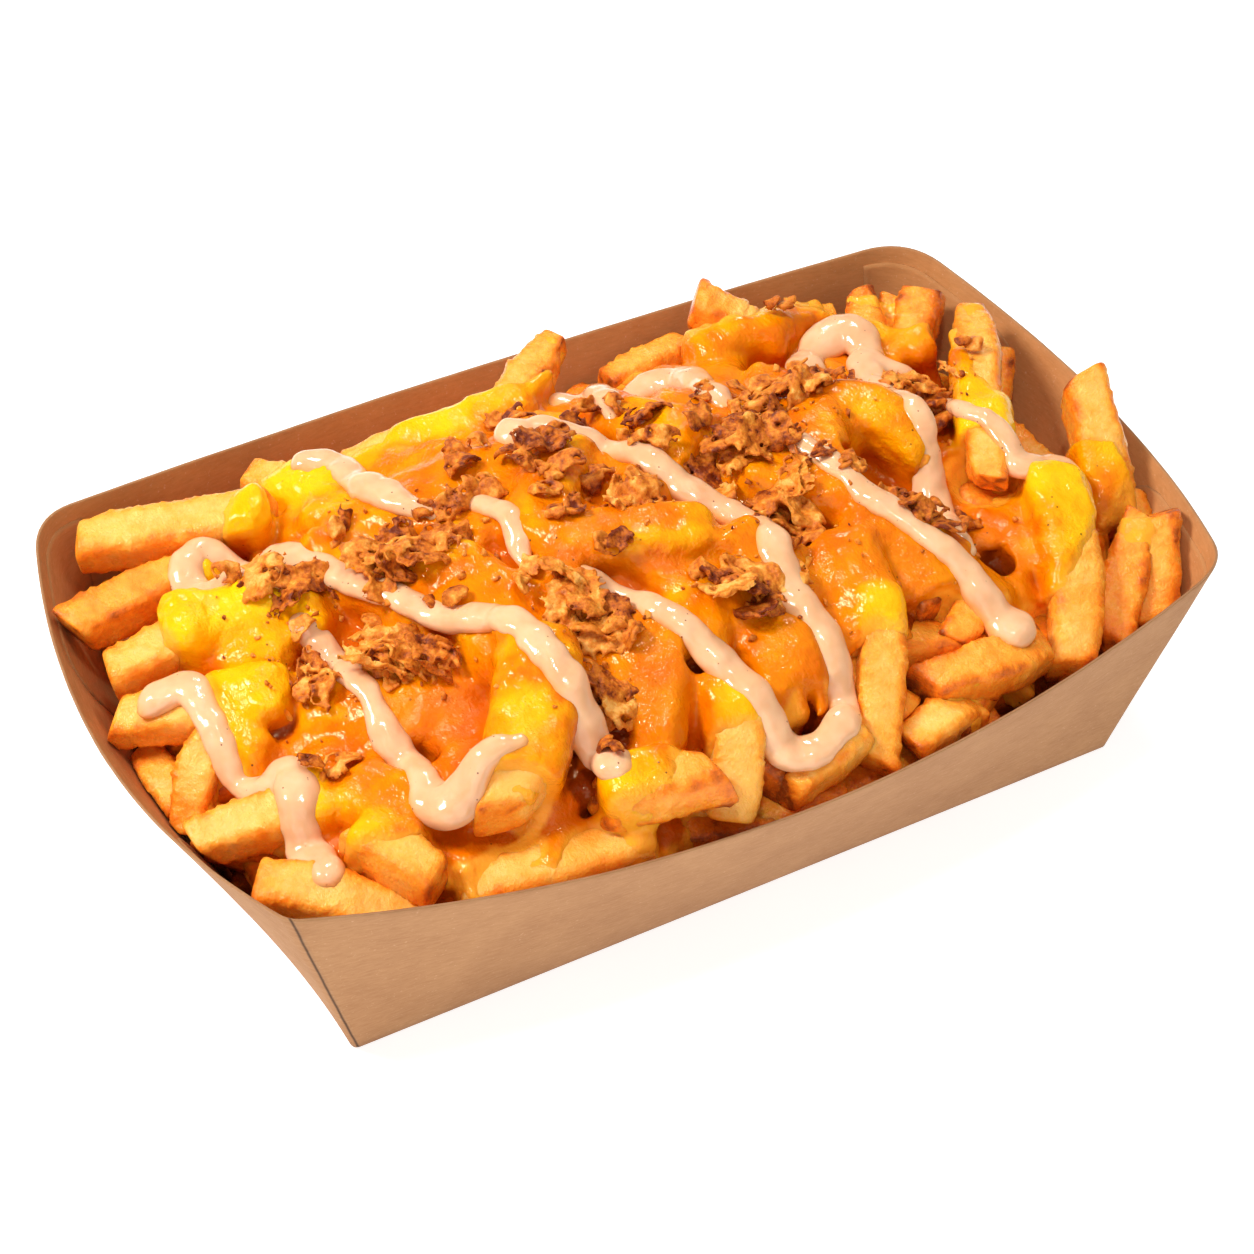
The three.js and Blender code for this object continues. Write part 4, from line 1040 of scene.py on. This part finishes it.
def cheese_finish(name):
    """Melted cheese: smooth, wet and slightly see-through, rich orange where thick and yellow where thin,
    with stretch wrinkles too fine for the mesh. Its recesses and hollows are darkened as painted shade."""
    cheese = Finish(name)
    patches = cheese.noise(9.0, 3.0, 0.5)
    thin = cheese.sum(cheese.mark("thin"), cheese.rescale(patches, 0.3, 0.7, -0.28, 0.28))
    orange = cheese.blend(cheese.rescale(patches, 0.35, 0.65), (0.70, 0.138, 0.0004, 1), (0.81, 0.235, 0.0006, 1))
    colour = cheese.blend(cheese.rescale(thin, 0.45, 0.95), orange, (0.95, 0.395, 0.001, 1))
    colour = cheese.blend(cheese.rescale(thin, 0.95, 1.25), colour, (0.98, 0.485, 0.004, 1))
    # Painted shade in the recesses and round the hollows: darker orange, and dark brown at their bottoms.
    colour = cheese.blend(cheese.mark("deep"), colour, (0.58, 0.085, 0.001, 1))
    colour = cheese.blend(cheese.rescale(cheese.mark("deep"), 0.86, 1.0), colour, (0.24, 0.028, 0.001, 1))
    colour = cheese.blend(cheese.mark("film"), colour, (0.95, 0.38, 0.028, 1))
    fleck = cheese.rescale(cheese.cells(2.4), 0.05, 0.13, 1.0, 0.0)
    sparse = cheese.rescale(cheese.noise(12.0, 2.0), 0.56, 0.62)
    colour = cheese.blend(cheese.times(fleck, sparse), colour, (0.10, 0.02, 0.004, 1))
    ripples = cheese.noise(1.5, 3.0, 0.6)
    creases = cheese.times(cheese.noise(0.9, 2.0), cheese.rescale(cheese.noise(11.0, 2.0), 0.45, 0.6))
    folds = cheese.noise(3.6, 3.0, 0.55, cheese.stretched(1.0, 0.45, 1.0))
    relief = cheese.bump(ripples, 0.4, 0.45, cheese.bump(folds, 0.5, 1.2, cheese.bump(creases, 0.75, 0.45)))
    return cheese.done(
        Base_Color=colour,
        Roughness=cheese.rescale(ripples, 0.3, 0.7, 0.08, 0.17),
        Normal=relief,
        Subsurface_Weight=0.4,
        Subsurface_Radius=(1.0, 0.35, 0.06),
        Subsurface_Scale=0.0025,
        Specular_IOR_Level=0.32,
        Specular_Tint=(1.0, 0.8, 0.5, 1),
    )


put_mesh(
    "cheese_sauce",
    sauce_points,
    [sauce_quads],
    cheese_finish("cheese_sauce"),
    "cheese_sauce",
    ["cheese_sauce"],
    thin=thin,
    film=0.8 * (1 - ramp(over_fries, 0.1, 0.8)) * ramp(from_hollow, 1.4, 2.2),
    # Painted shade: darker below the sauce's even top and round the hollows.
    deep=np.maximum(0.85 * ramp(-rise, 0.5, 4.5), (1 - ramp(from_hollow, 0.7, 1.4)) * ramp(-rise, 0.5, 3.0)),
)



# Creamy drizzle
# A thick pink-beige burger sauce squeezed from a bottle in loops over the cheese. It stands up as a glossy
# rope, fatter where the bottle paused, runs together where strands meet, and has fine specks of spice.
DRIZZLE_STEP = 0.55
DRIZZLE_WIDTH_SHARE = 0.89
DRIZZLE_TIP = 0.25
DRIZZLE_FLATNESS = 0.62
DRIZZLE_LIFT = 0.16

# Each strand's route in plan with its width there, in mm.
STRANDS = [
    [
        (-100, 3.5, 5), (-96.5, 4.5, 7), (-91.5, 3, 7.5), (-91, -4, 7), (-91, -11, 7), (-90, -17, 7),
        (-86.5, -22, 8), (-83, -21.5, 8), (-84, -27, 7.5), (-86, -35, 7.5), (-86.5, -44, 9),
    ],
    [(-47, 47, 7), (-42, 44, 8), (-42, 33, 7.5), (-40, 24, 8), (-36, 14, 6)],
    [
        (-71.2, 16, 5.5), (-74, 21.5, 7), (-78.5, 23, 8), (-80, 30, 8), (-75, 35.5, 8), (-70, 31, 7.5),
        (-67, 26, 8), (-62, 26.5, 8.5), (-59, 20, 8), (-57, 11.5, 7), (-54, 5, 6.5), (-50.5, -0.5, 6.5),
        (-47, -8, 7), (-42, -15, 7), (-38.5, -22, 7), (-37, -31, 7.5), (-36, -40, 7.5), (-34, -53, 9),
    ],
    [(-67, 5.5, 7), (-65, -2, 6.5), (-64.5, -15, 6.5), (-64, -28, 7), (-63, -44, 9.5), (-56, -44, 7), (-49, -45, 5.5)],
    [(-30, 17, 5), (-25, 6, 6.5), (-27, -7, 5.5)],
    [
        (-12, 26, 9), (-7, 25, 8.5), (-3, 20.5, 7.5), (1, 18, 7.5), (4.5, 12, 7.5), (8, 5.5, 7.5), (10.5, -2, 7.5),
        (15, -8, 7.5), (18, -14.5, 7), (16.5, -21.5, 7), (15.7, -29, 7), (15.6, -36, 7.5), (15.6, -52, 7),
        (8, -59, 8), (0, -58, 8.5), (-3, -48, 7.5), (-8, -34, 7.5), (-16, -20, 6.5), (-20, -12, 5),
    ],
    [(8, 42.5, 8), (13.5, 47, 9), (19.5, 46.5, 8.5), (22, 40, 8), (29, 41, 8.5), (33, 36.5, 8), (31, 26, 7), (30.5, 15, 5)],
    [(17, 46, 6.5), (13.5, 37, 7), (10.5, 27, 5)],
    [
        (59, 31, 9), (65, 37, 9.5), (72, 38, 10), (74, 33, 9), (69.5, 24, 8), (64.5, 10.5, 7.5), (63, -2.5, 7),
        (60.5, -12, 7), (57.5, -22.5, 6.5), (54, -34, 5.5),
    ],
    [(35.5, 2, 5), (37, -6.5, 6), (39, -15, 6), (42.5, -23.5, 6.5), (49, -37, 7), (54, -51, 11.5)],
    [
        (70, 26, 7), (75, 21, 6), (77.5, 15, 5.5), (77, 6, 5.5), (75, -3, 6), (77, -8, 6), (77.5, -13, 6),
        (77, -18, 6.5), (81, -20, 7), (85, -21, 7), (87.5, -24, 6.5), (87.5, -29, 5.5),
    ],
]


def smooth_route(route, spacing):
    """A smooth curve through the route's points, a Catmull-Rom spline, resampled at even steps in plan."""
    route = np.asarray(route, dtype=float)
    padded = np.concatenate([2 * route[:1] - route[1:2], route, 2 * route[-1:] - route[-2:-1]])
    t = np.linspace(0, 1, 30, endpoint=False)[:, None]
    pieces = []
    for a, b, c, d in zip(padded, padded[1:], padded[2:], padded[3:]):
        pieces.append(0.5 * (2 * b + (c - a) * t + (2 * a - 5 * b + 4 * c - d) * t**2 + (3 * b - a - 3 * c + d) * t**3))
    curve = np.concatenate(pieces + [route[-1:]])
    length = np.r_[0, np.cumsum(np.hypot(*np.diff(curve[:, :2], axis=0).T))]
    places = np.linspace(0, length[-1], int(length[-1] / spacing) + 2)
    return np.stack([np.interp(places, length, curve[:, k]) for k in range(curve.shape[1])], axis=-1)


drizzle_box = Lattice((-107, -64, 28), (100, 58, 71), DRIZZLE_STEP)
drizzle = drizzle_box.filled(9.0)
for number, route in enumerate(STRANDS):
    line = smooth_route(route, 0.55)
    x, y, width = line.T
    x, y = (v + 0.9 * smooth_noise(line * (1, 1, 0), 9.0, seed) for v, seed in ((x, 54), (y, 55)))
    swell_place = np.stack([x, y, np.full(len(x), 9.0 * number)], axis=-1)
    swell = 0.3 * smooth_noise(swell_place, 8.0, 51) + 0.14 * smooth_noise(swell_place, 3.5, 53)
    from_end = np.minimum(np.arange(len(x)), np.arange(len(x))[::-1]) * 0.55
    fading = np.where(width < 7, 1 - DRIZZLE_TIP * np.exp(-((from_end / 3) ** 2)), 1)
    half = width / 2 * DRIZZLE_WIDTH_SHARE * (1 + swell) * fading
    rest = np.maximum(height_at(smooth_top, x, y), height_at(food_top, x, y) - 1.2)
    rest = np.convolve(np.pad(rest, 7, mode="edge"), np.ones(15) / 15, mode="valid")
    strand = drizzle_box.filled(9.0)
    for cx, cy, cz, r in zip(x, y, rest + half * DRIZZLE_FLATNESS * DRIZZLE_LIFT - 2.4 * (1 - fading), half):
        centre = np.array([cx, cy, cz])
        cut, places = drizzle_box.window(centre - r - 2.4, centre + r + 2.4)
        offset = (places - centre) / (1, 1, DRIZZLE_FLATNESS)
        strand[cut] = np.minimum(strand[cut], (np.linalg.norm(offset, axis=-1) - r) * 0.85)
    drizzle = soft_least(drizzle, strand, 2.2)
drizzle_points, drizzle_quads = drizzle_box.skin(drizzle)
drizzle_points = evened(drizzle_points, drizzle_quads, 4)
drizzle_points += face_normals(drizzle_points, drizzle_quads) * (0.3 * smooth_noise(drizzle_points, 3.4, 52))[:, None]
drizzle_points = keep_inside(drizzle_points, WALL_CLEARANCE)


def drizzle_finish(name):
    """Creamy sauce: pink-beige, wet and cloudy, with sparse dark flecks of spice."""
    cream = Finish(name)
    cloud = cream.noise(6.0, 2.0)
    colour = cream.blend(cream.rescale(cloud, 0.35, 0.65), (0.74, 0.39, 0.19, 1), (0.84, 0.48, 0.26, 1))
    colour = cream.blend(cream.rescale(cream.mark("thin"), 0.1, 0.9, 0.0, 0.75), colour, (0.84, 0.33, 0.07, 1))
    fleck = cream.rescale(cream.cells(1.9), 0.06, 0.12, 1.0, 0.0)
    sparse = cream.rescale(cream.noise(3.0, 1.0), 0.5, 0.54)
    colour = cream.blend(cream.times(fleck, sparse), colour, (0.20, 0.07, 0.03, 1))
    relief = cream.bump(cream.noise(1.8, 3.0), 0.2, 0.45)
    return cream.done(
        Base_Color=colour,
        Roughness=cream.rescale(cloud, 0.3, 0.7, 0.09, 0.15),
        Normal=relief,
        Subsurface_Weight=0.45,
        Subsurface_Radius=(1.0, 0.5, 0.3),
        Subsurface_Scale=0.0025,
        Specular_IOR_Level=0.5,
    )


drizzle_depth = drizzle_points[:, 2] - height_at(smooth_top, drizzle_points[:, 0], drizzle_points[:, 1])
put_mesh(
    "drizzle",
    drizzle_points,
    [drizzle_quads],
    drizzle_finish("drizzle"),
    "cheese_sauce",
    ["cheese_sauce"],
    thin=1 - ramp(drizzle_depth, -0.3, 1.6),
)


# Crispy fried onions
# Thin curls of onion fried in a dusting of flour: brown, brittle, crinkled plates with a blistered, pitted
# crust and ragged edges, stuck together in clumps where they were strewn on the sauce.
ONION_STEP = 0.36
ONION_THICKNESS = 1.0

# Clumps: x, y, length, width and turn in degrees.
ONION_CLUMPS = [
    (-44, 8, 20, 12, 20), (-55.5, -12.5, 19, 12, -35), (-65, 15, 17, 10, 10), (-71, -8, 12, 6, -75),
    (-24, -22, 18, 10, -60), (-29, -39, 14, 9, -50), (-2, -2, 12, 10, 60), (25, 4, 18, 11, 15),
    (25.5, -13.5, 15, 11, 60), (8.5, -30, 15, 13, 30), (46, 15, 16, 9, 5), (75, 9, 17, 8, -30),
    (48.5, -25, 15, 8, -35),
]

# Single shreds: the same columns.
ONION_SHREDS = [
    (-80, 27, 6, 4, 30), (-52, 22, 8, 5, 70), (-26, 20, 11, 6, -40), (-12, 10, 9, 6, 20), (-6, 30, 9, 5, -10),
    (14, 20, 10, 6, 35), (18, -6, 9, 6, -60), (52, 22, 8, 5, 15), (60, 45, 7, 4, 10), (66, 20, 8, 5, -50),
    (62, -22, 8, 5, -20), (-33, -51, 5, 4, 0), (-78, -25, 9, 8, 30), (36, 8, 9, 6, 80), (86, 14, 6, 4, 20),
    (-20, -30, 7, 5, 10), (-50, -18, 9, 5, 60), (-68, 3, 8, 5, -30), (40, -12, 8, 5, 20), (5, 16, 11, 7, -30),
    (-36, 14, 9, 6, 10), (-54, -1, 9, 6, 80), (-46, -8, 8, 5, -20), (-73, 21, 7, 5, 60), (-30, -12, 8, 5, 70),
    (-4, 8, 8, 6, 60), (10, 11, 9, 6, -10), (20, 12, 9, 5, 50), (33, 14, 9, 6, 0), (53, 14, 8, 5, -40),
    (35, -6, 8, 5, 30), (1, -25, 7, 5, -40), (-16, -2, 7, 5, 30), (-60, -14, 8, 5, 0), (22, -22, 7, 4, 80),
    (-8, 38, 7, 5, 15), (30, 24, 7, 5, -70), (46, -18, 7, 4, 45), (-22, 27, 8, 5, 20), (68, 10, 7, 4, 60),
    (-27, 13, 10, 6, 15), (-17, 17, 9, 5, -35), (-10, 18, 12, 8, 50), (2, 23, 12, 8, 10), (-16, 6, 8, 5, 80),
    (9, 30, 10, 7, -20), (38, 20, 9, 5, 25), (32, 3, 9, 6, -50), (-37, 4, 8, 5, 60), (-13, -14, 7, 4, 0),
]
CRUMB_COUNT = 300
PLATE_TONES = (-0.24, -0.12, 0.0, 0.06, 0.14, 0.26)


def onion_plates(length, width, turn, rng, count):
    """Middles, sizes and frames of a clump's plates: strung along the clump on alternate sides, each tipped
    and turned at random."""
    plates = []
    for i in range(count):
        along = ((i + 0.5) / count - 0.5) * length * 0.75 + rng.uniform(-1, 1)
        across = (0.22 if i % 2 == 0 else -0.22) * width + rng.uniform(-1, 1)
        place = (along * math.cos(turn) - across * math.sin(turn), along * math.sin(turn) + across * math.cos(turn))
        heading = turn + rng.uniform(-0.9, 0.9)
        tip, tilt = rng.uniform(-0.6, 0.6, 2)
        x = np.array([math.cos(heading) * math.cos(tip), math.sin(heading) * math.cos(tip), math.sin(tip)])
        y = np.cross([0, 0, 1], x)
        y = y / np.linalg.norm(y) * math.cos(tilt) + np.array([0, 0, 1]) * math.sin(tilt)
        z = np.cross(x, y)
        z /= np.linalg.norm(z)
        size = np.array([length * rng.uniform(0.27, 0.42), width * rng.uniform(0.3, 0.5)])
        plates.append((place, size, np.stack([x, np.cross(z, x), z]), rng.uniform(0, 90), rng.choice(PLATE_TONES)))
    return plates


def onion_clump(clump, seed, count):
    """Points and faces of a clump: the skin of crinkled, ragged, pitted plates. A plate is where the distance
    from a sheet that curls as a parabola and crinkles with noise is under half the onion's thickness."""
    x, y, length, width, degrees = clump
    rng = np.random.default_rng(seed)
    plates = onion_plates(length, width, math.radians(degrees), rng, count)
    seat = float(height_at(smooth_top, x, y))
    reach = length * 0.62 + 3
    box = Lattice((x - reach, y - reach, seat - 5), (x + reach, y + reach, seat + 9), ONION_STEP)
    middles = []
    for (px, py), *_ in plates:
        low = max(float(height_at(food_top, x + px, y + py)), float(height_at(smooth_top, x + px, y + py)) - 0.5)
        middles.append(np.array([x + px, y + py, low + rng.uniform(0.9, 2.6)]))
    _, places = box.window(np.array(box.low), np.array([line[-1] for line in box.lines]))
    close = np.zeros(box.shape, dtype=bool)
    for middle, (_, size, axes, *_) in zip(middles, plates):
        close |= np.linalg.norm((places - middle) @ axes.T / (size[0] + 2.6, size[1] + 2.6, 4.2), axis=-1) < 1.15
    places = places[close]
    warp = np.stack([smooth_noise(places, 3.4, seed * 7 + k) for k in range(3)], axis=-1) * 1.25
    crumb, pits = smooth_noise(places, 1.25, seed * 7 + 4), smooth_noise(places, 2.2, seed * 7 + 5)
    least, tones = np.full(len(places), 5.0), np.zeros(len(places))
    for middle, (_, size, axes, phase, tone) in zip(middles, plates):
        local = (places + warp - middle) @ axes.T
        u, v = local[:, 0] / size[0], local[:, 1] / size[1]
        curl, wave = rng.uniform(0.3, 1.5), rng.uniform(0.15, 0.7)
        w = local[:, 2] + curl * (u * u - 0.3) + wave * np.sin(2.6 * v + phase)
        ragged = (np.sqrt(u * u + v * v) - 1 + 0.35 * pits) * size.min() * 0.8
        thick = ONION_THICKNESS / 2 * (1 + 0.35 * pits) + 0.28 * crumb
        gap = np.maximum(np.abs(w) - thick, ragged)
        tones = np.where(gap < least, tone, tones)
        least = np.minimum(least, gap)
    field, crust_field = box.filled(5.0), box.filled(0.5)
    field[close] = np.maximum(least, 0.42 - np.abs(pits + 0.62) * 2.2)
    crust_field[close] = 0.5 + 0.4 * pits + 0.22 * crumb + tones
    points, quads = box.skin(field)
    points = evened(points, quads, 1, 0.35)
    points[:, 2] = np.minimum(points[:, 2], 71.8)
    return points, quads, read_field(box, crust_field, points)


def onion_finish(name):
    """Fried onion: golden-browned flour crust, dark umber to nearly black in its pits and edges, oily."""
    onion = Finish(name)
    grain = onion.noise(0.7, 4.0, 0.7)
    mottle = onion.noise(3.2, 4.0, 0.6)
    tone = onion.sum(onion.mark("crust"), onion.rescale(mottle, 0.3, 0.7, -0.35, 0.35), onion.rescale(grain, 0.3, 0.7, -0.2, 0.2))
    colours = onion.add("ValToRGB", {"Fac": tone})
    stops = [
        (0.05, (0.16, 0.022, 0.003, 1)),
        (0.3, (0.44, 0.095, 0.006, 1)),
        (0.55, (0.62, 0.17, 0.012, 1)),
        (0.8, (0.76, 0.27, 0.03, 1)),
        (1.0, (0.88, 0.42, 0.09, 1)),
    ]
    for element, (position, colour) in zip(colours.color_ramp.elements, (stops[0], stops[-1])):
        element.position, element.color = position, colour
    for position, colour in stops[1:-1]:
        colours.color_ramp.elements.new(position).color = colour
    pitted = onion.cells(0.9)
    relief = onion.bump(grain, 0.6, 0.3, onion.bump(pitted, 0.5, 0.35))
    return onion.done(
        Base_Color=colours.outputs["Color"],
        Roughness=onion.rescale(mottle, 0.35, 0.65, 0.38, 0.6),
        Normal=relief,
        Subsurface_Weight=0.2,
        Subsurface_Radius=(1.0, 0.4, 0.1),
        Subsurface_Scale=0.001,
        Specular_IOR_Level=0.2,
    )


fried_onion = onion_finish("fried_onion")
for number, clump in enumerate(ONION_CLUMPS):
    points, quads, crust = onion_clump(clump, 200 + number, max(4, round(clump[2] * clump[3] / 30)))
    put_mesh(f"onion_{number + 1}", points, [quads], fried_onion, "fried_onion", [f"onion_{number + 1}"], crust=crust)

shreds = [onion_clump(shred, 300 + k, 2) for k, shred in enumerate(ONION_SHREDS)]
starts = np.cumsum([0] + [len(s[0]) for s in shreds[:-1]])
put_mesh(
    "onion_shreds",
    np.concatenate([s[0] for s in shreds]),
    [np.concatenate([s[1] + start for s, start in zip(shreds, starts)])],
    fried_onion,
    "fried_onion",
    crust=np.concatenate([s[2] for s in shreds]) - 0.06,
)

# Crumbs that broke off the onions: knobbly little octahedra, each side split in four.
corners = np.array([(1, 0, 0), (0, 1, 0), (-1, 0, 0), (0, -1, 0), (0, 0, 1), (0, 0, -1)], dtype=float)
sides = [(k, (k + 1) % 4, 4) for k in range(4)] + [((k + 1) % 4, k, 5) for k in range(4)]
middles, ball, ball_faces = {}, list(corners), []
for side_corners in sides:
    halves = []
    for a, b in zip(side_corners, side_corners[1:] + side_corners[:1]):
        pair = (min(a, b), max(a, b))
        if pair not in middles:
            middles[pair] = len(ball)
            ball.append((corners[a] + corners[b]) / np.linalg.norm(corners[a] + corners[b]))
        halves.append(middles[pair])
    ball_faces += [(side_corners[k], halves[k], halves[k - 1]) for k in range(3)] + [tuple(halves)]
rng = np.random.default_rng(71)
near = np.array(ONION_CLUMPS)[rng.integers(0, len(ONION_CLUMPS), CRUMB_COUNT)]
crumb_place = near[:, :2] + rng.normal(size=(CRUMB_COUNT, 2)) * (near[:, 2:3] * 0.55)
crumb_place = crumb_place[edge_distance(crumb_place[:, 0], crumb_place[:, 1], SAUCE_EDGE) > 3]
crumb_size = rng.uniform(0.25, 0.75, (len(crumb_place), 1, 3)) * rng.choice([0.7, 1.4], (len(crumb_place), 1, 1))
crumb_points = np.array(ball) * crumb_size * rng.uniform(0.5, 1.4, (len(crumb_place), len(ball), 1))
seats = height_at(food_top, *crumb_place.T) + 0.3
crumb_points += np.column_stack([crumb_place, seats])[:, None]
crumb_starts = np.arange(len(crumb_place))[:, None, None] * len(ball)
put_mesh(
    "onion_crumbs",
    crumb_points.reshape(-1, 3),
    [(np.array(ball_faces) + crumb_starts).reshape(-1, 3)],
    fried_onion,
    "fried_onion",
    crust=np.repeat(rng.uniform(0.15, 0.75, len(crumb_place)), len(ball)),
)




# Table, lights and camera
# A pale seamless floor under large soft studio lights, seen from the photograph's own angle and distance.
def floor_finish():
    """Matt near-white paper with the faintest unevenness."""
    paper = Finish("pale_floor")
    tone = paper.rescale(paper.noise(60.0, 2.0), 0.3, 0.7)
    return paper.done(
        Base_Color=paper.blend(tone, (0.62, 0.62, 0.62, 1), (0.64, 0.64, 0.64, 1)),
        Roughness=0.9,
        Emission_Color=(1, 1, 1, 1),
        Emission_Strength=0.72,
    )


floor_mesh = bpy.data.meshes.new("floor")
side = 6.0
floor_mesh.from_pydata([(-side, -side, -0.0002), (side, -side, -0.0002), (side, side, -0.0002), (-side, side, -0.0002)], [], [(0, 1, 2, 3)])
floor_mesh.materials.append(floor_finish())
floor = bpy.data.objects.new("floor", floor_mesh)
bpy.context.scene.collection.objects.link(floor)

world = bpy.data.worlds.new("studio")
bpy.context.scene.world = world
world.use_nodes = True
world.node_tree.nodes["Background"].inputs["Color"].default_value = (1, 1, 1, 1)
world.node_tree.nodes["Background"].inputs["Strength"].default_value = 0.22


def soft_light(name, azimuth, elevation, distance, size, power):
    """A square area light aimed at the food: azimuth from the front, turning right, in degrees."""
    light = bpy.data.lights.new(name, "AREA")
    light.size = size
    light.energy = power
    lamp = bpy.data.objects.new(name, light)
    bpy.context.scene.collection.objects.link(lamp)
    turn, rise = math.radians(azimuth), math.radians(elevation)
    back = np.array([math.sin(turn) * math.cos(rise), -math.cos(turn) * math.cos(rise), math.sin(rise)])
    across = np.array([math.cos(turn), math.sin(turn), 0])
    up = np.cross(back, across)
    place = back * distance + (0, 0, 0.03)
    lamp.matrix_world = Matrix(np.vstack([np.column_stack([across, up, back, place]), [0, 0, 0, 1]]).tolist())
    return lamp


soft_light("key_light", -118, 50, 0.9, 0.22, 7.9)
soft_light("top_light", 60, 70, 1.2, 1.4, 2.4)
soft_light("front_light", -30, 22, 1.3, 1.3, 7.4)
soft_light("glint_light", 150, 48, 0.9, 0.11, 1.9)
soft_light("crown_light", -40, 80, 0.9, 0.07, 1.9)

LENS, SENSOR = 91.9, 36.0
CAMERA_AZIMUTH, CAMERA_ELEVATION, CAMERA_ROLL = -32.33, 44.30, 4.01
CAMERA_DISTANCE, CAMERA_RIGHT, CAMERA_UP = 650.1, 1.28, 18.97
turn, rise, roll = (math.radians(v) for v in (CAMERA_AZIMUTH, CAMERA_ELEVATION, CAMERA_ROLL))
back = np.array([math.sin(turn) * math.cos(rise), -math.cos(turn) * math.cos(rise), math.sin(rise)])
level = np.array([math.cos(turn), math.sin(turn), 0])
upright = np.cross(back, level)
right = math.cos(roll) * level + math.sin(roll) * upright
up = math.cos(roll) * upright - math.sin(roll) * level
place = (back * CAMERA_DISTANCE + right * CAMERA_RIGHT + up * CAMERA_UP) * 0.001
camera = bpy.data.objects.new("camera", bpy.data.cameras.new("camera"))
camera.data.lens = LENS
camera.data.sensor_width = SENSOR
camera.data.clip_start, camera.data.clip_end = 0.01, 20
camera.matrix_world = Matrix(np.vstack([np.column_stack([right, up, back, place]), [0, 0, 0, 1]]).tolist())
bpy.context.scene.collection.objects.link(camera)
bpy.context.scene.camera = camera
bpy.context.scene.view_settings.view_transform = "Standard"
